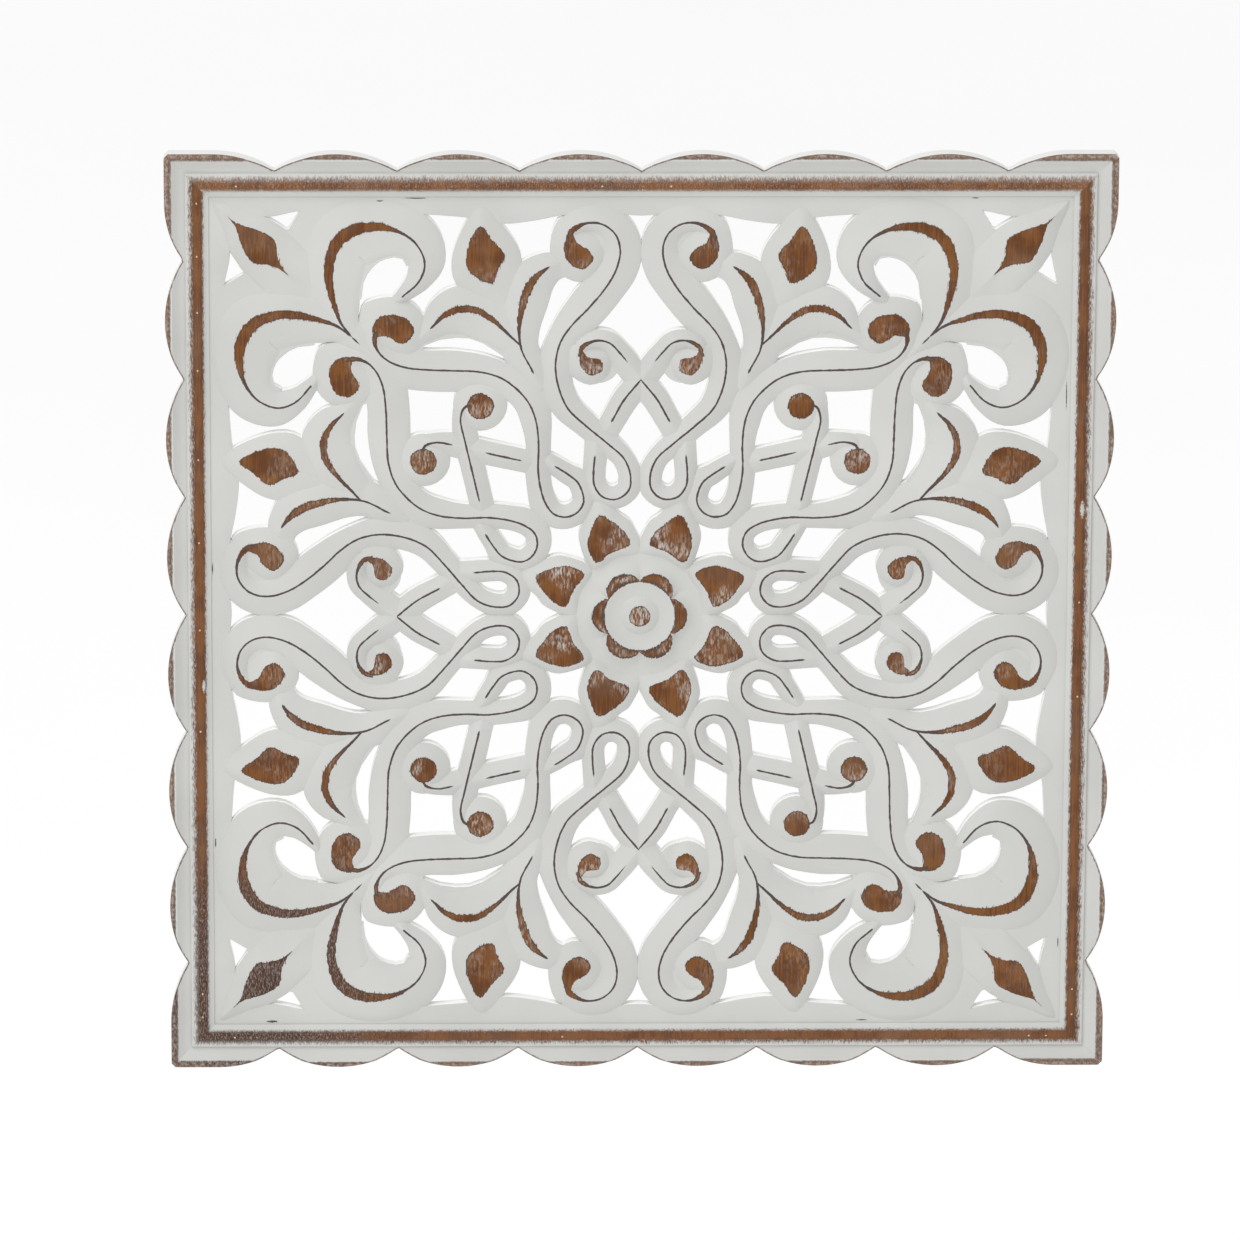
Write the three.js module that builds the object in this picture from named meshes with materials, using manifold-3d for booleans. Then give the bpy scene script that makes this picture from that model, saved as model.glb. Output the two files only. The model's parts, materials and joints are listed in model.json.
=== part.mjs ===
// Mandala wall panel: a carved openwork board in a scalloped, mitred frame.
// Drawn face on, in millimetres: x to the right, y up, z out from the wall. The finished group is
// turned so that +Z is up and the carved face looks along -Y, with the origin at the middle of the back.
import * as THREE from 'three';
import { mergeVertices } from 'three/addons/utils/BufferGeometryUtils.js';
import Module from 'manifold-3d';

const wasm = await Module();
wasm.setup();

// Overall sizes
const PANEL_SIDE = 600;
const HALF = PANEL_SIDE / 2;
const JOINT_GAP = 0.3;

// Levels above the wall: the board, then what rises above its face
const BOARD_THICKNESS = 9;
const CARVING_RISE = 4;
const TUCK_RISE = 1;
const DISH_RISE = 1;
const CREST_LEVEL = BOARD_THICKNESS + CARVING_RISE;
const TUCK_LEVEL = BOARD_THICKNESS + TUCK_RISE;
const DISH_LEVEL = BOARD_THICKNESS + DISH_RISE;
const BACK_TRIM = 1;

// Frame moulding, from the outer edge inwards, and how far each band rises above the board
const RIM_WIDTH = 4.5;
const COVE_WIDTH = 8.3;
const STEP_WIDTH = 5;
const BEAD_WIDTH = 6.4;
const LIP_WIDTH = 3.5;
const RIM_RISE = 4.5;
const COVE_RISE = 0.3;
const STEP_RISE = 2.6;
const BEAD_RISE = 5.6;
const LIP_RISE = 1;
const FRAME_WIDTH = RIM_WIDTH + COVE_WIDTH + STEP_WIDTH + BEAD_WIDTH + LIP_WIDTH;
const BOARD_TUCK = 5.7;

// Scallops along the outer edge, from the middle of a side to the corner
const SCALLOPS_TO_CORNER = 3;
const SCALLOP_DEPTH = 11.5;
const CORNER_RUN = 30.5;
const CORNER_RADIUS = 3;
const SCALLOP_PITCH = (HALF - CORNER_RUN) / (SCALLOPS_TO_CORNER + 0.5);
const SCALLOP_STEPS = 5;

// The carving is drawn for an opening of this half width and keeps its proportions in any other.
const DRAWN_HALF = 272.3;
const SHARE = (HALF - FRAME_WIDTH) / DRAWN_HALF;
const drawn = (points) => points.map((point) => point.map((value) => value * SHARE));

// Rosette
const LOBES = 6;
const BUTTON_RADIUS = 6.5 * SHARE;
const BUTTON_FOOT = 12.5 * SHARE;
const DISH_RADIUS = 23 * SHARE;
const LOBE_VALLEY = 24 * SHARE;
const LOBE_REACH = 6 * SHARE;
const LOBE_SKIRT = 5.5 * SHARE;
const ROSETTE_RADIUS = 47 * SHARE;

// Fineness of the bent ribbons
const PART_LENGTH = 60 * SHARE;
const STEP_LENGTH = 52 * SHARE;
const STEP_TURN = THREE.MathUtils.degToRad(62);

// Stations along a ribbon: [x, y, width to the left, width to the right, level of the ridge].
const station = (x, y, left, right, crest = CREST_LEVEL) => [...drawn([[x, y, left, right]])[0], crest];

/** Stations on an elliptical arc; the two widths run evenly from the first pair to the last. */
function arc([cx, cy], [rx, ry], [from, to], count, first, last = first) {
  return Array.from({ length: count }, (_, i) => {
    const k = i / (count - 1);
    const angle = THREE.MathUtils.degToRad(from + (to - from) * k);
    const [left, right] = [0, 1].map((side) => first[side] + (last[side] - first[side]) * k);
    return station(cx + rx * Math.cos(angle), cy + ry * Math.sin(angle), left, right);
  });
}

const SCROLL = [
  station(46.5, 244.5, 6, 8, TUCK_LEVEL),
  ...arc([31, 238.5], [17.6, 17.6], [42, 180], 5, [6, 9.5], [10, 13.9]),
  station(15.8, 226, 12, 14),
  station(22.5, 214, 13.4, 13),
  station(33.5, 200.5, 13.3, 13.2),
  station(43.4, 190.2, 10.8, 13),
  station(50.8, 179, 9, 12),
  station(53.9, 165, 10.8, 11),
  station(52.2, 150.5, 12, 9.6),
  station(46, 135.8, 10, 9),
  station(35, 125, 8.6, 8.1),
  station(21, 113.2, 8.5, 7),
  station(10.2, 103, 8.1, 5.9),
  ...arc([17.6, 88.5], [11.8, 12], [165, 345], 5, [7.8, 7.4], [7.7, 7.6]),
  station(29.7, 94.5, 7.9, 6.8),
  station(28.9, 104, 8, 7),
  station(28, 119, 7, 7, TUCK_LEVEL),
];

const SMALL_SCROLL = [
  station(36.8, 169.5, 5, 6, TUCK_LEVEL),
  ...arc([26.5, 165.5], [14.5, 14.5], [45, 152], 4, [6, 6.5], [9, 6.5]),
  station(8.6, 166, 10, 7),
  station(0, 154.5, 10, 7.2),
  station(-10.6, 141.4, 9.8, 7.2),
  station(-18, 128, 9, 7),
  station(-24, 118, 9, 7, TUCK_LEVEL),
];

const CORNER_SCROLL = [
  station(166, 188, 9, 6, TUCK_LEVEL),
  station(168.2, 180.5, 9.5, 7),
  station(165.8, 173, 10.5, 8),
  station(160, 167.2, 12.5, 10),
  station(149.5, 162.8, 14.5, 12),
  station(134, 161, 15, 11.8),
  station(118, 160.5, 15, 12.2),
  station(101, 159.6, 14, 10.4),
  station(87.5, 155.3, 13, 9.8),
  station(77.5, 147.7, 10.5, 13),
  station(70.3, 138.6, 10, 13),
  station(66, 127, 10, 10),
  station(64.5, 112, 8.3, 8),
  station(64.8, 96, 8.3, 8.2),
  station(62.8, 82.3, 9, 7.4),
  ...arc([48, 77.4], [12.3, 12.3], [-20, -170], 5, [10.6, 7.2], [7.6, 7.2]),
  station(39.2, 87.2, 8.6, 7.2),
  station(46.2, 93.2, 6, 7.6),
  station(53, 97.6, 5.6, 7),
  station(64, 104, 5, 5, TUCK_LEVEL),
];

const INNER_CURL = [
  station(105, 139, 5, 5, TUCK_LEVEL),
  station(111.6, 136.4, 6, 6),
  station(113.9, 129, 5.4, 8),
  station(111.4, 116, 7.4, 8.8),
  station(107, 97, 7, 8.8),
  station(102.2, 76.5, 7, 8.5),
  station(99.6, 65, 7, 8.5, TUCK_LEVEL),
];

const INNER_LEAF = [
  station(63.4, 147, 9, 9, TUCK_LEVEL),
  station(68.4, 160, 9, 10),
  station(75.2, 173.5, 11, 13),
  station(77, 187, 13.5, 13),
  station(74.6, 203.6, 15.8, 14),
  station(69, 217.6, 15, 14),
  station(59, 227, 12, 9.5),
  station(48, 231, 10, 5, TUCK_LEVEL),
];

const OUTER_LEAF = [
  station(76, 177, 13, 11),
  station(82.2, 182.6, 13, 13),
  station(92, 192, 14, 17),
  station(103.5, 199.4, 14, 19.4),
  station(115.5, 200.2, 14, 18),
  station(125.5, 195.2, 11.4, 15.6),
  station(132, 188.6, 7.9, 10),
  station(143, 178.6, 8, 5, TUCK_LEVEL),
];

const VOLUTE = [
  station(179, 179.1, 8, 8, CREST_LEVEL - 0.6),
  station(184, 184.3, 9, 9),
  station(189.4, 191.8, 13, 12),
  station(193.6, 204, 17, 14),
  station(196.6, 218, 21.6, 14),
  station(196.2, 231, 23.4, 15),
  station(191, 244, 21.5, 18),
  station(181, 251.2, 24, 18),
  station(168, 253.4, 24, 18),
  station(154, 250.8, 19.6, 17.4),
  station(142, 242.6, 14, 16.6),
  station(136.4, 230, 10.6, 13.2),
  station(140, 218.2, 8.8, 8),
  station(150.5, 208.4, 4.4, 5.2),
  station(155, 204.2, 3.6, 4, TUCK_LEVEL),
];

const VOLUTE_STEM = [
  station(158, 158, 9, 9, TUCK_LEVEL),
  station(172, 172, 9, 9, TUCK_LEVEL),
  station(182, 182, 10, 10),
  station(192, 192, 8, 8, TUCK_LEVEL),
];

// Flat-topped carvings: the sanded top, then the foot it slopes down to.
const SCROLL_EYE = {
  top: [[44, 250.4], [48.6, 241], [46, 231], [37, 226.3], [30.6, 232], [33, 238], [41, 243]],
  foot: [[50, 259], [57.4, 243], [54.6, 225.4], [38, 216.6], [23.6, 228], [24, 240], [35, 252]],
};
const SMALL_EYE = {
  top: [[37.6, 174], [38, 164.6], [31.6, 157.6], [24.6, 161], [25.6, 167.6], [33.6, 169]],
  foot: [[46, 178], [46, 159], [32, 150], [20.6, 155.8], [18, 168], [28, 175]],
};
const CORNER_EYE = {
  top: [[143.5, 185], [146, 192.4], [154, 196.2], [164, 195.4], [169, 189], [168.4, 182.6],
    [160.6, 183.2], [150.6, 178]],
  foot: [[134.4, 185], [139.6, 198.8], [151, 206.4], [166, 206.4], [176.6, 200], [177.4, 180],
    [164, 171.4], [145, 167.6]],
};
const BUD = {
  top: [[94, 217.2], [108.6, 225.3], [110, 236], [101.4, 253.6], [94, 244.6], [86.3, 235], [90.4, 226]],
  foot: [[86, 196], [116.4, 214.8], [118.8, 235], [101, 266], [85.6, 251.6], [75.4, 232.4], [78, 212]],
};
const PETAL = {
  top: [[6.6, 47.3], [18.6, 41.7], [27.6, 35.4], [32.8, 46], [31, 56.6], [25.9, 65.9], [16, 60.6],
    [8.4, 53]],
  foot: [[-2, 43], [14, 37.4], [30, 29.4], [38.4, 47], [37.2, 59], [26, 80], [13, 66.6], [4.6, 59]],
};
const CORNER_BUD = {
  top: [[222, 222], [226.6, 228], [229.4, 235.6], [230.6, 244.4], [240, 250.6], [250.4, 254], [260, 260]],
  foot: [[206, 206], [204.6, 216], [207, 232], [221.6, 248.6], [230, 255], [239, 260], [270, 270]],
};

// Inner edge of the flat border, from the middle of a side to the corner
const BORDER_EDGE = [
  [0, 259.4], [24, 261.6], [50, 259.6], [66, 256.4], [88, 254.2], [110, 258.2], [139, 260.5], [176, 263.6],
  [212.7, 262.9], [229.6, 259.4], [237.6, 258.8], [262, 262],
];

// Round eye of the inner curl
const CURL_EYE = { centre: [101.4, 137.5], top: 8.4, foot: 17.3 };

// Flat grounds in the heads of the scrolls: [x, y, radius]
const GROUNDS = [[32, 238, 20], [27, 166, 14.5], [158, 180, 21]];
const ROUND_SIDES = 8;

// Flat webs: between the volute and the corner bud, inside the volute, and below the outer leaf
const WEBS = [
  [
    [214, 272], [214.4, 263.4], [218.2, 256.8], [221.8, 251], [228, 249.4], [228, 238], [214, 228],
    [196, 240], [184, 256], [184, 272],
  ],
  [
    [176.2, 206], [174.6, 218], [169.7, 225.4], [162.4, 231.2], [154, 232.6], [147.8, 227], [141, 232],
    [150, 244], [168, 247], [184, 240], [188, 216],
  ],
  [
    [136.7, 174.6], [126.7, 179.2], [112, 180.4], [100, 176.7], [86.5, 166.6], [92, 184], [112, 190],
    [130, 187],
  ],
];

/** Solid made from a closed geometry, its doubled corners merged first. */
function toSolid(geometry) {
  const plain = geometry.clone();
  plain.deleteAttribute('normal');
  plain.deleteAttribute('uv');
  return fromSkin(mergeVertices(plain, 1e-4));
}

/** Solid inside an indexed skin. */
function fromSkin(skin) {
  const mesh = new wasm.Mesh({
    numProp: 3,
    vertProperties: new Float32Array(skin.attributes.position.array),
    triVerts: new Uint32Array(skin.index.array),
  });
  return new wasm.Manifold(mesh);
}

/** Geometry of a solid. */
function toGeometry(solid) {
  const { vertProperties, triVerts } = solid.getMesh();
  const geometry = new THREE.BufferGeometry();
  geometry.setAttribute('position', new THREE.BufferAttribute(new Float32Array(vertProperties), 3));
  geometry.setIndex(new THREE.BufferAttribute(new Uint32Array(triVerts), 1));
  return geometry;
}

const join = (solids) => solids.reduce((whole, solid) => whole.add(solid));

/** Mirrored or turned copy of a solid. */
function copyOf(solid, matrix) {
  const geometry = toGeometry(solid).applyMatrix4(matrix);
  if (matrix.determinant() < 0) geometry.index.array.reverse();
  return fromSkin(geometry);
}

const acrossUpright = new THREE.Matrix4().makeScale(-1, 1, 1);
const acrossDiagonal = new THREE.Matrix4().set(0, 1, 0, 0, 1, 0, 0, 0, 0, 0, 1, 0, 0, 0, 0, 1);
const quarterTurns = (count) => new THREE.Matrix4().makeRotationZ((Math.PI / 2) * count);

/** Flat outline drawn through points and pushed out from the wall. */
function slab(points, depth, from = 0) {
  const shape = new THREE.Shape(points.map(([x, y]) => new THREE.Vector2(x, y)));
  return new THREE.ExtrudeGeometry(shape, { depth, bevelEnabled: false }).translate(0, 0, from);
}

/** Even shares of a curve's length and turning, as parameters along it. */
function spacing(curve) {
  const fine = 240;
  const points = Array.from({ length: fine + 1 }, (_, i) => curve.getPoint(i / fine));
  const effort = [0];
  for (let i = 1; i <= fine; i += 1) {
    const length = points[i].distanceTo(points[i - 1]);
    const turn = curve.getTangent(i / fine).angleTo(curve.getTangent((i - 1) / fine));
    effort.push(effort[i - 1] + length / STEP_LENGTH + turn / STEP_TURN);
  }
  const steps = Math.ceil(effort[fine]);
  const shares = Array.from({ length: steps + 1 }, (_, i) => (effort[fine] * i) / steps);
  return shares.map((share) => {
    const i = Math.max(1, effort.findIndex((value) => value >= share - 1e-9));
    const part = (share - effort[i - 1]) / (effort[i] - effort[i - 1]);
    return Math.min(1, Math.max(0, (i - 1 + part) / fine));
  });
}

/** Carved ribbon: upright sides, then slopes up to a ridge, bent along its stations. */
function ribbon(stations) {
  const middle = stations.map(([x, y]) => new THREE.Vector3(x, y, 0));
  const bend = new THREE.CatmullRomCurve3(middle, false, 'centripetal');
  const sizes = stations.map(([, , left, right, crest]) => new THREE.Vector3(left, right, crest));
  const widths = new THREE.CatmullRomCurve3(sizes, false, 'catmullrom', 0.3);
  const places = spacing(bend);
  const parts = Math.ceil(bend.getLength() / PART_LENGTH);
  const ends = Array.from({ length: parts + 1 }, (_, i) => Math.round(((places.length - 1) * i) / parts));
  return join(ends.slice(1).map((end, i) => ribbonPart(places.slice(ends[i], end + 1), bend, widths)));
}

/** One part of a ribbon, short enough not to reach round to itself. */
function ribbonPart(places, bend, widths) {
  const section = new THREE.Shape(
    [[-1, 0], [1, 0], [1, 1], [0, 2], [-1, 1]].map(([u, v]) => new THREE.Vector2(u, v)));
  const steps = places.length - 1;
  const geometry = new THREE.ExtrudeGeometry(section, { depth: steps, steps, bevelEnabled: false });
  const position = geometry.attributes.position;
  for (let i = 0; i < position.count; i += 1) {
    const [u, v] = [position.getX(i), position.getY(i)];
    const place = places[Math.round(position.getZ(i))];
    const middle = bend.getPoint(place);
    const ahead = bend.getTangent(place);
    const { x: left, y: right, z: crestLevel } = widths.getPoint(place);
    const across = u * (u > 0 ? left : right);
    const level = [-BACK_TRIM, BOARD_THICKNESS, Math.min(crestLevel, CREST_LEVEL)][Math.round(v)];
    position.setXYZ(i, middle.x - ahead.y * across, middle.y + ahead.x * across, level);
  }
  return toSolid(geometry);
}

/** Flat-topped carving from the drawing. */
const mound = ({ top, foot }) => slopedBlock(drawn(top), drawn(foot));

/** Block with upright sides up to the board's face and slopes from there to a flat top. */
function slopedBlock(top, foot) {
  const shape = new THREE.Shape(foot.map(([x, y]) => new THREE.Vector2(x, y)));
  const geometry = new THREE.ExtrudeGeometry(shape, { depth: 2, steps: 2, bevelEnabled: false });
  const position = geometry.attributes.position;
  for (let i = 0; i < position.count; i += 1) {
    const [x, y, z] = [position.getX(i), position.getY(i), position.getZ(i)];
    const k = foot.findIndex(([a, b]) => Math.hypot(a - x, b - y) < 1e-3);
    if (z > 1.5) position.setXYZ(i, top[k][0], top[k][1], CREST_LEVEL);
    else position.setZ(i, z > 0.5 ? BOARD_THICKNESS : -BACK_TRIM);
  }
  return toSolid(geometry);
}

/** Turned solid from a profile of radius and level. */
function turned(profile, sides, x = 0, y = 0) {
  const points = profile.map(([radius, level]) => new THREE.Vector2(radius, level));
  return toSolid(new THREE.LatheGeometry(points, sides).rotateX(Math.PI / 2).translate(x, y, 0));
}

/** One eighth of the carving, between the upright middle line and the diagonal. */
function carvedEighth() {
  return join([
    ribbon(SCROLL),
    ribbon(SMALL_SCROLL),
    ribbon(CORNER_SCROLL),
    ribbon(INNER_CURL),
    ribbon(INNER_LEAF),
    ribbon(OUTER_LEAF),
    ribbon(VOLUTE),
    mound(SCROLL_EYE),
    mound(SMALL_EYE),
    mound(CORNER_EYE),
    mound(BUD),
    mound(PETAL),
    curlEye(),
    ...drawn(GROUNDS).map(([x, y, radius]) => turned(ground(radius), ROUND_SIDES, x, y)),
    ...WEBS.map((web) => toSolid(slab(drawn(web), BOARD_THICKNESS + BACK_TRIM, -BACK_TRIM))),
  ]);
}

/** Profile of a round ground as thick as the board. */
function ground(radius) {
  return [[0, -BACK_TRIM], [radius, -BACK_TRIM], [radius, BOARD_THICKNESS], [0, BOARD_THICKNESS]];
}

/** Round flat-topped eye of the inner curl. */
function curlEye() {
  const [[x, y], [top, foot]] = drawn([CURL_EYE.centre, [CURL_EYE.top, CURL_EYE.foot]]);
  const profile = [...ground(foot).slice(0, -1), [top, CREST_LEVEL], [0, CREST_LEVEL]];
  return turned(profile, ROUND_SIDES, x, y);
}

/** Kite-shaped bud on the diagonal, from the side of it that is drawn. */
function cornerBud() {
  const whole = (list) => [...list.slice(1, -1).reverse().map(([x, y]) => [y, x]), ...list].reverse();
  return mound({ top: whole(CORNER_BUD.top), foot: whole(CORNER_BUD.foot) });
}

/** Flat border whose outer edge runs under the bead. */
function border() {
  const half = HALF - FRAME_WIDTH + BOARD_TUCK;
  const shape = new THREE.Shape([[-half, -half], [half, -half], [half, half], [-half, half]]
    .map(([x, y]) => new THREE.Vector2(x, y)));
  const edge = drawn(BORDER_EDGE);
  const quarter = [...edge, ...edge.slice(1, -1).reverse().map(([x, y]) => [y, x])];
  const opening = [];
  for (let turn = 0; turn < 4; turn += 1) {
    for (const [x, y] of quarter) {
      opening.push(new THREE.Vector2(x, y).rotateAround(new THREE.Vector2(), (-Math.PI / 2) * turn));
    }
  }
  shape.holes.push(new THREE.Path(opening));
  const plate = new THREE.ExtrudeGeometry(shape, { depth: BOARD_THICKNESS + BACK_TRIM, bevelEnabled: false });
  return toSolid(plate.translate(0, 0, -BACK_TRIM));
}

/** Six-lobed flower with a dished middle and a button. */
function rosetteHeart() {
  const perLobe = 4;
  const ring = (radius) => Array.from({ length: LOBES * perLobe }, (_, i) => {
    const angle = (i / perLobe) * ((2 * Math.PI) / LOBES);
    const reach = radius + LOBE_REACH * Math.abs(Math.cos((LOBES * angle) / 2)) ** 0.7;
    return [reach * Math.cos(angle), reach * Math.sin(angle)];
  });
  const lobes = slopedBlock(ring(LOBE_VALLEY), ring(LOBE_VALLEY + LOBE_SKIRT));
  const above = CREST_LEVEL + BACK_TRIM;
  const dish = turned([[0, DISH_LEVEL], [BUTTON_FOOT + (DISH_RADIUS - BUTTON_FOOT) / 3, DISH_LEVEL],
    [DISH_RADIUS, above], [0, above]], 14);
  const button = turned([[0, BOARD_THICKNESS], [BUTTON_FOOT, BOARD_THICKNESS], [BUTTON_FOOT, DISH_LEVEL],
    [BUTTON_RADIUS, CREST_LEVEL], [0, CREST_LEVEL]], 10);
  return turned(ground(ROSETTE_RADIUS), 20).add(lobes).subtract(dish).add(button);
}

/** The whole board: eight copies of the carving, the rosette's heart and the border, cut flat behind. */
function openworkPanel() {
  const eighth = carvedEighth();
  const diagonal = join([ribbon(VOLUTE_STEM), cornerBud()]);
  const quarter = eighth.add(copyOf(eighth, acrossDiagonal)).add(diagonal);
  const half = quarter.add(copyOf(quarter, acrossUpright));
  const carving = half.add(copyOf(half, quarterTurns(2)));
  const square = [[-HALF, -HALF], [HALF, -HALF], [HALF, HALF], [-HALF, HALF]];
  const behind = toSolid(slab(square, 3 * BACK_TRIM, -3 * BACK_TRIM));
  return carving.add(border()).add(rosetteHeart()).subtract(behind);
}

/** Straight moulding for the top of the frame, cut to scallops and mitres. */
function topRail() {
  const boardEdge = FRAME_WIDTH - BOARD_TUCK - JOINT_GAP;
  const coveEnd = RIM_WIDTH + COVE_WIDTH;
  const stepEnd = coveEnd + STEP_WIDTH;
  const beadEnd = stepEnd + BEAD_WIDTH;
  const beadSide = STEP_RISE + (BEAD_RISE - STEP_RISE) * 0.7;
  const face = [
    [FRAME_WIDTH, LIP_RISE], [beadEnd, beadSide], [stepEnd + BEAD_WIDTH / 2, BEAD_RISE], [stepEnd, beadSide],
    [stepEnd, STEP_RISE], [coveEnd, STEP_RISE], [coveEnd, COVE_RISE],
    [RIM_WIDTH + COVE_WIDTH * 0.6, COVE_RISE + (RIM_RISE - COVE_RISE) * 0.15],
    [RIM_WIDTH + COVE_WIDTH * 0.25, COVE_RISE + (RIM_RISE - COVE_RISE) * 0.5],
    [RIM_WIDTH, RIM_RISE], [0, RIM_RISE],
  ];
  const profile = [
    [0, 0], [boardEdge, 0],
    [boardEdge, BOARD_THICKNESS + JOINT_GAP], [FRAME_WIDTH, BOARD_THICKNESS + JOINT_GAP],
    ...face.map(([inwards, rise]) => [inwards, BOARD_THICKNESS + rise]),
  ];
  const shape = new THREE.Shape(profile.map(([inwards, level]) => new THREE.Vector2(inwards, level)));
  const moulding = new THREE.ExtrudeGeometry(shape, { depth: PANEL_SIDE, bevelEnabled: false });
  const position = moulding.attributes.position;
  for (let i = 0; i < position.count; i += 1) {
    const [inwards, level, along] = [position.getX(i), position.getY(i), position.getZ(i)];
    position.setXYZ(i, HALF - along, HALF - inwards, level);
  }
  const depth = BOARD_THICKNESS + BEAD_RISE + 2 * BACK_TRIM;
  return toSolid(moulding).intersect(toSolid(slab(railOutline(), depth, -BACK_TRIM)));
}

/** Face outline of the top rail: scallops along the top, a mitre at each end. */
function railOutline() {
  const reach = SCALLOP_PITCH / 2;
  const radius = (reach ** 2 + SCALLOP_DEPTH ** 2) / (2 * SCALLOP_DEPTH);
  const sweep = Math.asin(reach / radius);
  const top = [];
  for (let scallop = 0; scallop <= SCALLOPS_TO_CORNER; scallop += 1) {
    const middle = (scallop + 0.5) * SCALLOP_PITCH;
    const toCorner = scallop === SCALLOPS_TO_CORNER;
    for (let i = 0; i < (toCorner ? SCALLOP_STEPS / 2 : SCALLOP_STEPS); i += 1) {
      const angle = sweep * ((2 * i) / SCALLOP_STEPS - 1);
      top.push([middle + radius * Math.sin(angle), HALF - radius * (1 - Math.cos(angle))]);
    }
  }
  const mitre = JOINT_GAP / Math.SQRT2;
  const corner = HALF - CORNER_RADIUS * (1 - Math.SQRT1_2);
  const inner = HALF - FRAME_WIDTH;
  top.push([HALF - CORNER_RUN, HALF]);
  top.push([HALF - CORNER_RADIUS - mitre, HALF]);
  top.push([corner - mitre, corner]);
  top.push([inner - mitre, inner]);
  return [...top, ...top.slice(1).reverse().map(([x, y]) => [-x, y])].reverse();
}

const paint = (color) => new THREE.MeshStandardMaterial({ color, roughness: 0.78, metalness: 0 });

/** Named mesh, turned from the drawing to its place on the wall. */
function piece(name, solid, color) {
  const geometry = toGeometry(solid).rotateX(Math.PI / 2).toNonIndexed();
  geometry.computeVertexNormals();
  const mesh = new THREE.Mesh(geometry, paint(color));
  mesh.name = name;
  return mesh;
}

const panel = new THREE.Group();
panel.name = 'mandala_wall_panel';
panel.add(piece('openwork_panel', openworkPanel(), 0xd2d1cd));
const rail = topRail();
['top_rail', 'left_rail', 'bottom_rail', 'right_rail'].forEach((name, turn) => {
  panel.add(piece(name, copyOf(rail, quarterTurns(turn)), 0xcac6bf));
});

export default panel;
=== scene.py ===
"""Mandala wall panel: a carved openwork board, lime washed and sanded, in a scalloped frame.

The board and the moulding are drawn face on in millimetres: x to the right, z up, and a level
out from the wall. A point takes its place in metres, with the face towards -Y, as it is made.
"""
import json
import logging
import math
from dataclasses import dataclass, field
from enum import Enum
from typing import NamedTuple

import bmesh
import bpy
from mathutils import Matrix, Vector

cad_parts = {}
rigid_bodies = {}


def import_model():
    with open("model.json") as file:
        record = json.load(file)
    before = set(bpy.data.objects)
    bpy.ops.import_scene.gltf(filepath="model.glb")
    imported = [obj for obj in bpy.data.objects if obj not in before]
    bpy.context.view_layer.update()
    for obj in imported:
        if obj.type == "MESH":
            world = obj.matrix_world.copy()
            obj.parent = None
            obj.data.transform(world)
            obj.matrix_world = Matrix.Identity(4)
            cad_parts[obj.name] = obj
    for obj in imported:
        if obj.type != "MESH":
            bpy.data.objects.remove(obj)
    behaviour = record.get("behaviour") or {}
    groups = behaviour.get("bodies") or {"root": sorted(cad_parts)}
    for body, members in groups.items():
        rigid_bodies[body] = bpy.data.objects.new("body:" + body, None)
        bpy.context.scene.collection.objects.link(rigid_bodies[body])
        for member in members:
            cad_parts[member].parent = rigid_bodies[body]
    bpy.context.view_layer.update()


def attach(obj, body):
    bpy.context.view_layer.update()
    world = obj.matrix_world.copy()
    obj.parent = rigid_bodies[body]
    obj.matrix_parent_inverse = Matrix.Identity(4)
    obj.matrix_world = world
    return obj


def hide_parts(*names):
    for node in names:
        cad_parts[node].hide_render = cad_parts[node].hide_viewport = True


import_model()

log = logging.getLogger("mandala_panel")

MM = 0.001
PANEL_HALF = 300.0
JOINT_GAP = 0.3
BOARD_LEVEL = 9.0
CREST_LEVEL = 13.0
TUCK_LEVEL = 10.0
FRAME_WIDTH = 27.7
BOARD_TUCK = 5.7
LINE_FLAT = 0.62
PART_LENGTH = 45.0
SECTION_STEP = 2.5
BACK_SHARE = 0.9
ROUND_STEPS = 144
SHARP_EDGE = math.radians(26)

# The "sanded" value of a vertex is this much on the edge of a sanded top, more inside it, and
# falls to 0 this many millimetres outside it, where the paint is whole.
WORN_EDGE = 3.0

Mesh = bpy.types.Mesh
Socket = bpy.types.NodeSocket
Point = tuple[float, float]
Station = tuple[float, float, float, float, float, float]


class Spot(NamedTuple):
    """Point of a ring: its place, how the finish wears there, and whether it takes the painted highlight of
    a lit outer side.
    """

    place: Vector
    sanded: float = 0.0
    broad: float = 0.0
    speckled: float = 0.0
    # 1 where the frame's outer side takes a painted highlight in place of the light from above
    upright: float = 0.0


Ring = list[Spot]


class Side(Enum):
    """Side of the frame, as quarter turns from the top."""

    TOP = 0
    LEFT = 1
    BOTTOM = 2
    RIGHT = 3


def at(x: float, z: float, level: float) -> Vector:
    """Place in metres of a point drawn at x and z, at a level above the wall."""
    return Vector((x * MM, -level * MM, z * MM))


def station(
    x: float, z: float, left: float, right: float, crest: float = CREST_LEVEL, flat: float = LINE_FLAT
) -> Station:
    """One station of a ribbon: place, widths to both sides, crest level and width of the flat."""
    return (x, z, left, right, crest, flat)


def arc(
    centre: Point, radii: Point, span: Point, count: int, first: Point, last: Point | None = None
) -> list[Station]:
    """Stations on an elliptical arc whose two widths run evenly from the first pair to the last.

    Args:
        centre: Middle of the arc.
        radii: Its reach along x and z.
        span: First and last angle in degrees.
        count: How many stations it has.
        first: Widths to the left and right at the first one.
        last: Widths at the last one, or None for the same.

    Returns:
        The stations in order.
    """
    last = last or first
    stations = []
    for index in range(count):
        share = index / (count - 1)
        angle = math.radians(span[0] + (span[1] - span[0]) * share)
        left, right = (first[side] + (last[side] - first[side]) * share for side in (0, 1))
        x = centre[0] + radii[0] * math.cos(angle)
        z = centre[1] + radii[1] * math.sin(angle)
        stations.append(station(x, z, left, right))
    return stations


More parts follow.
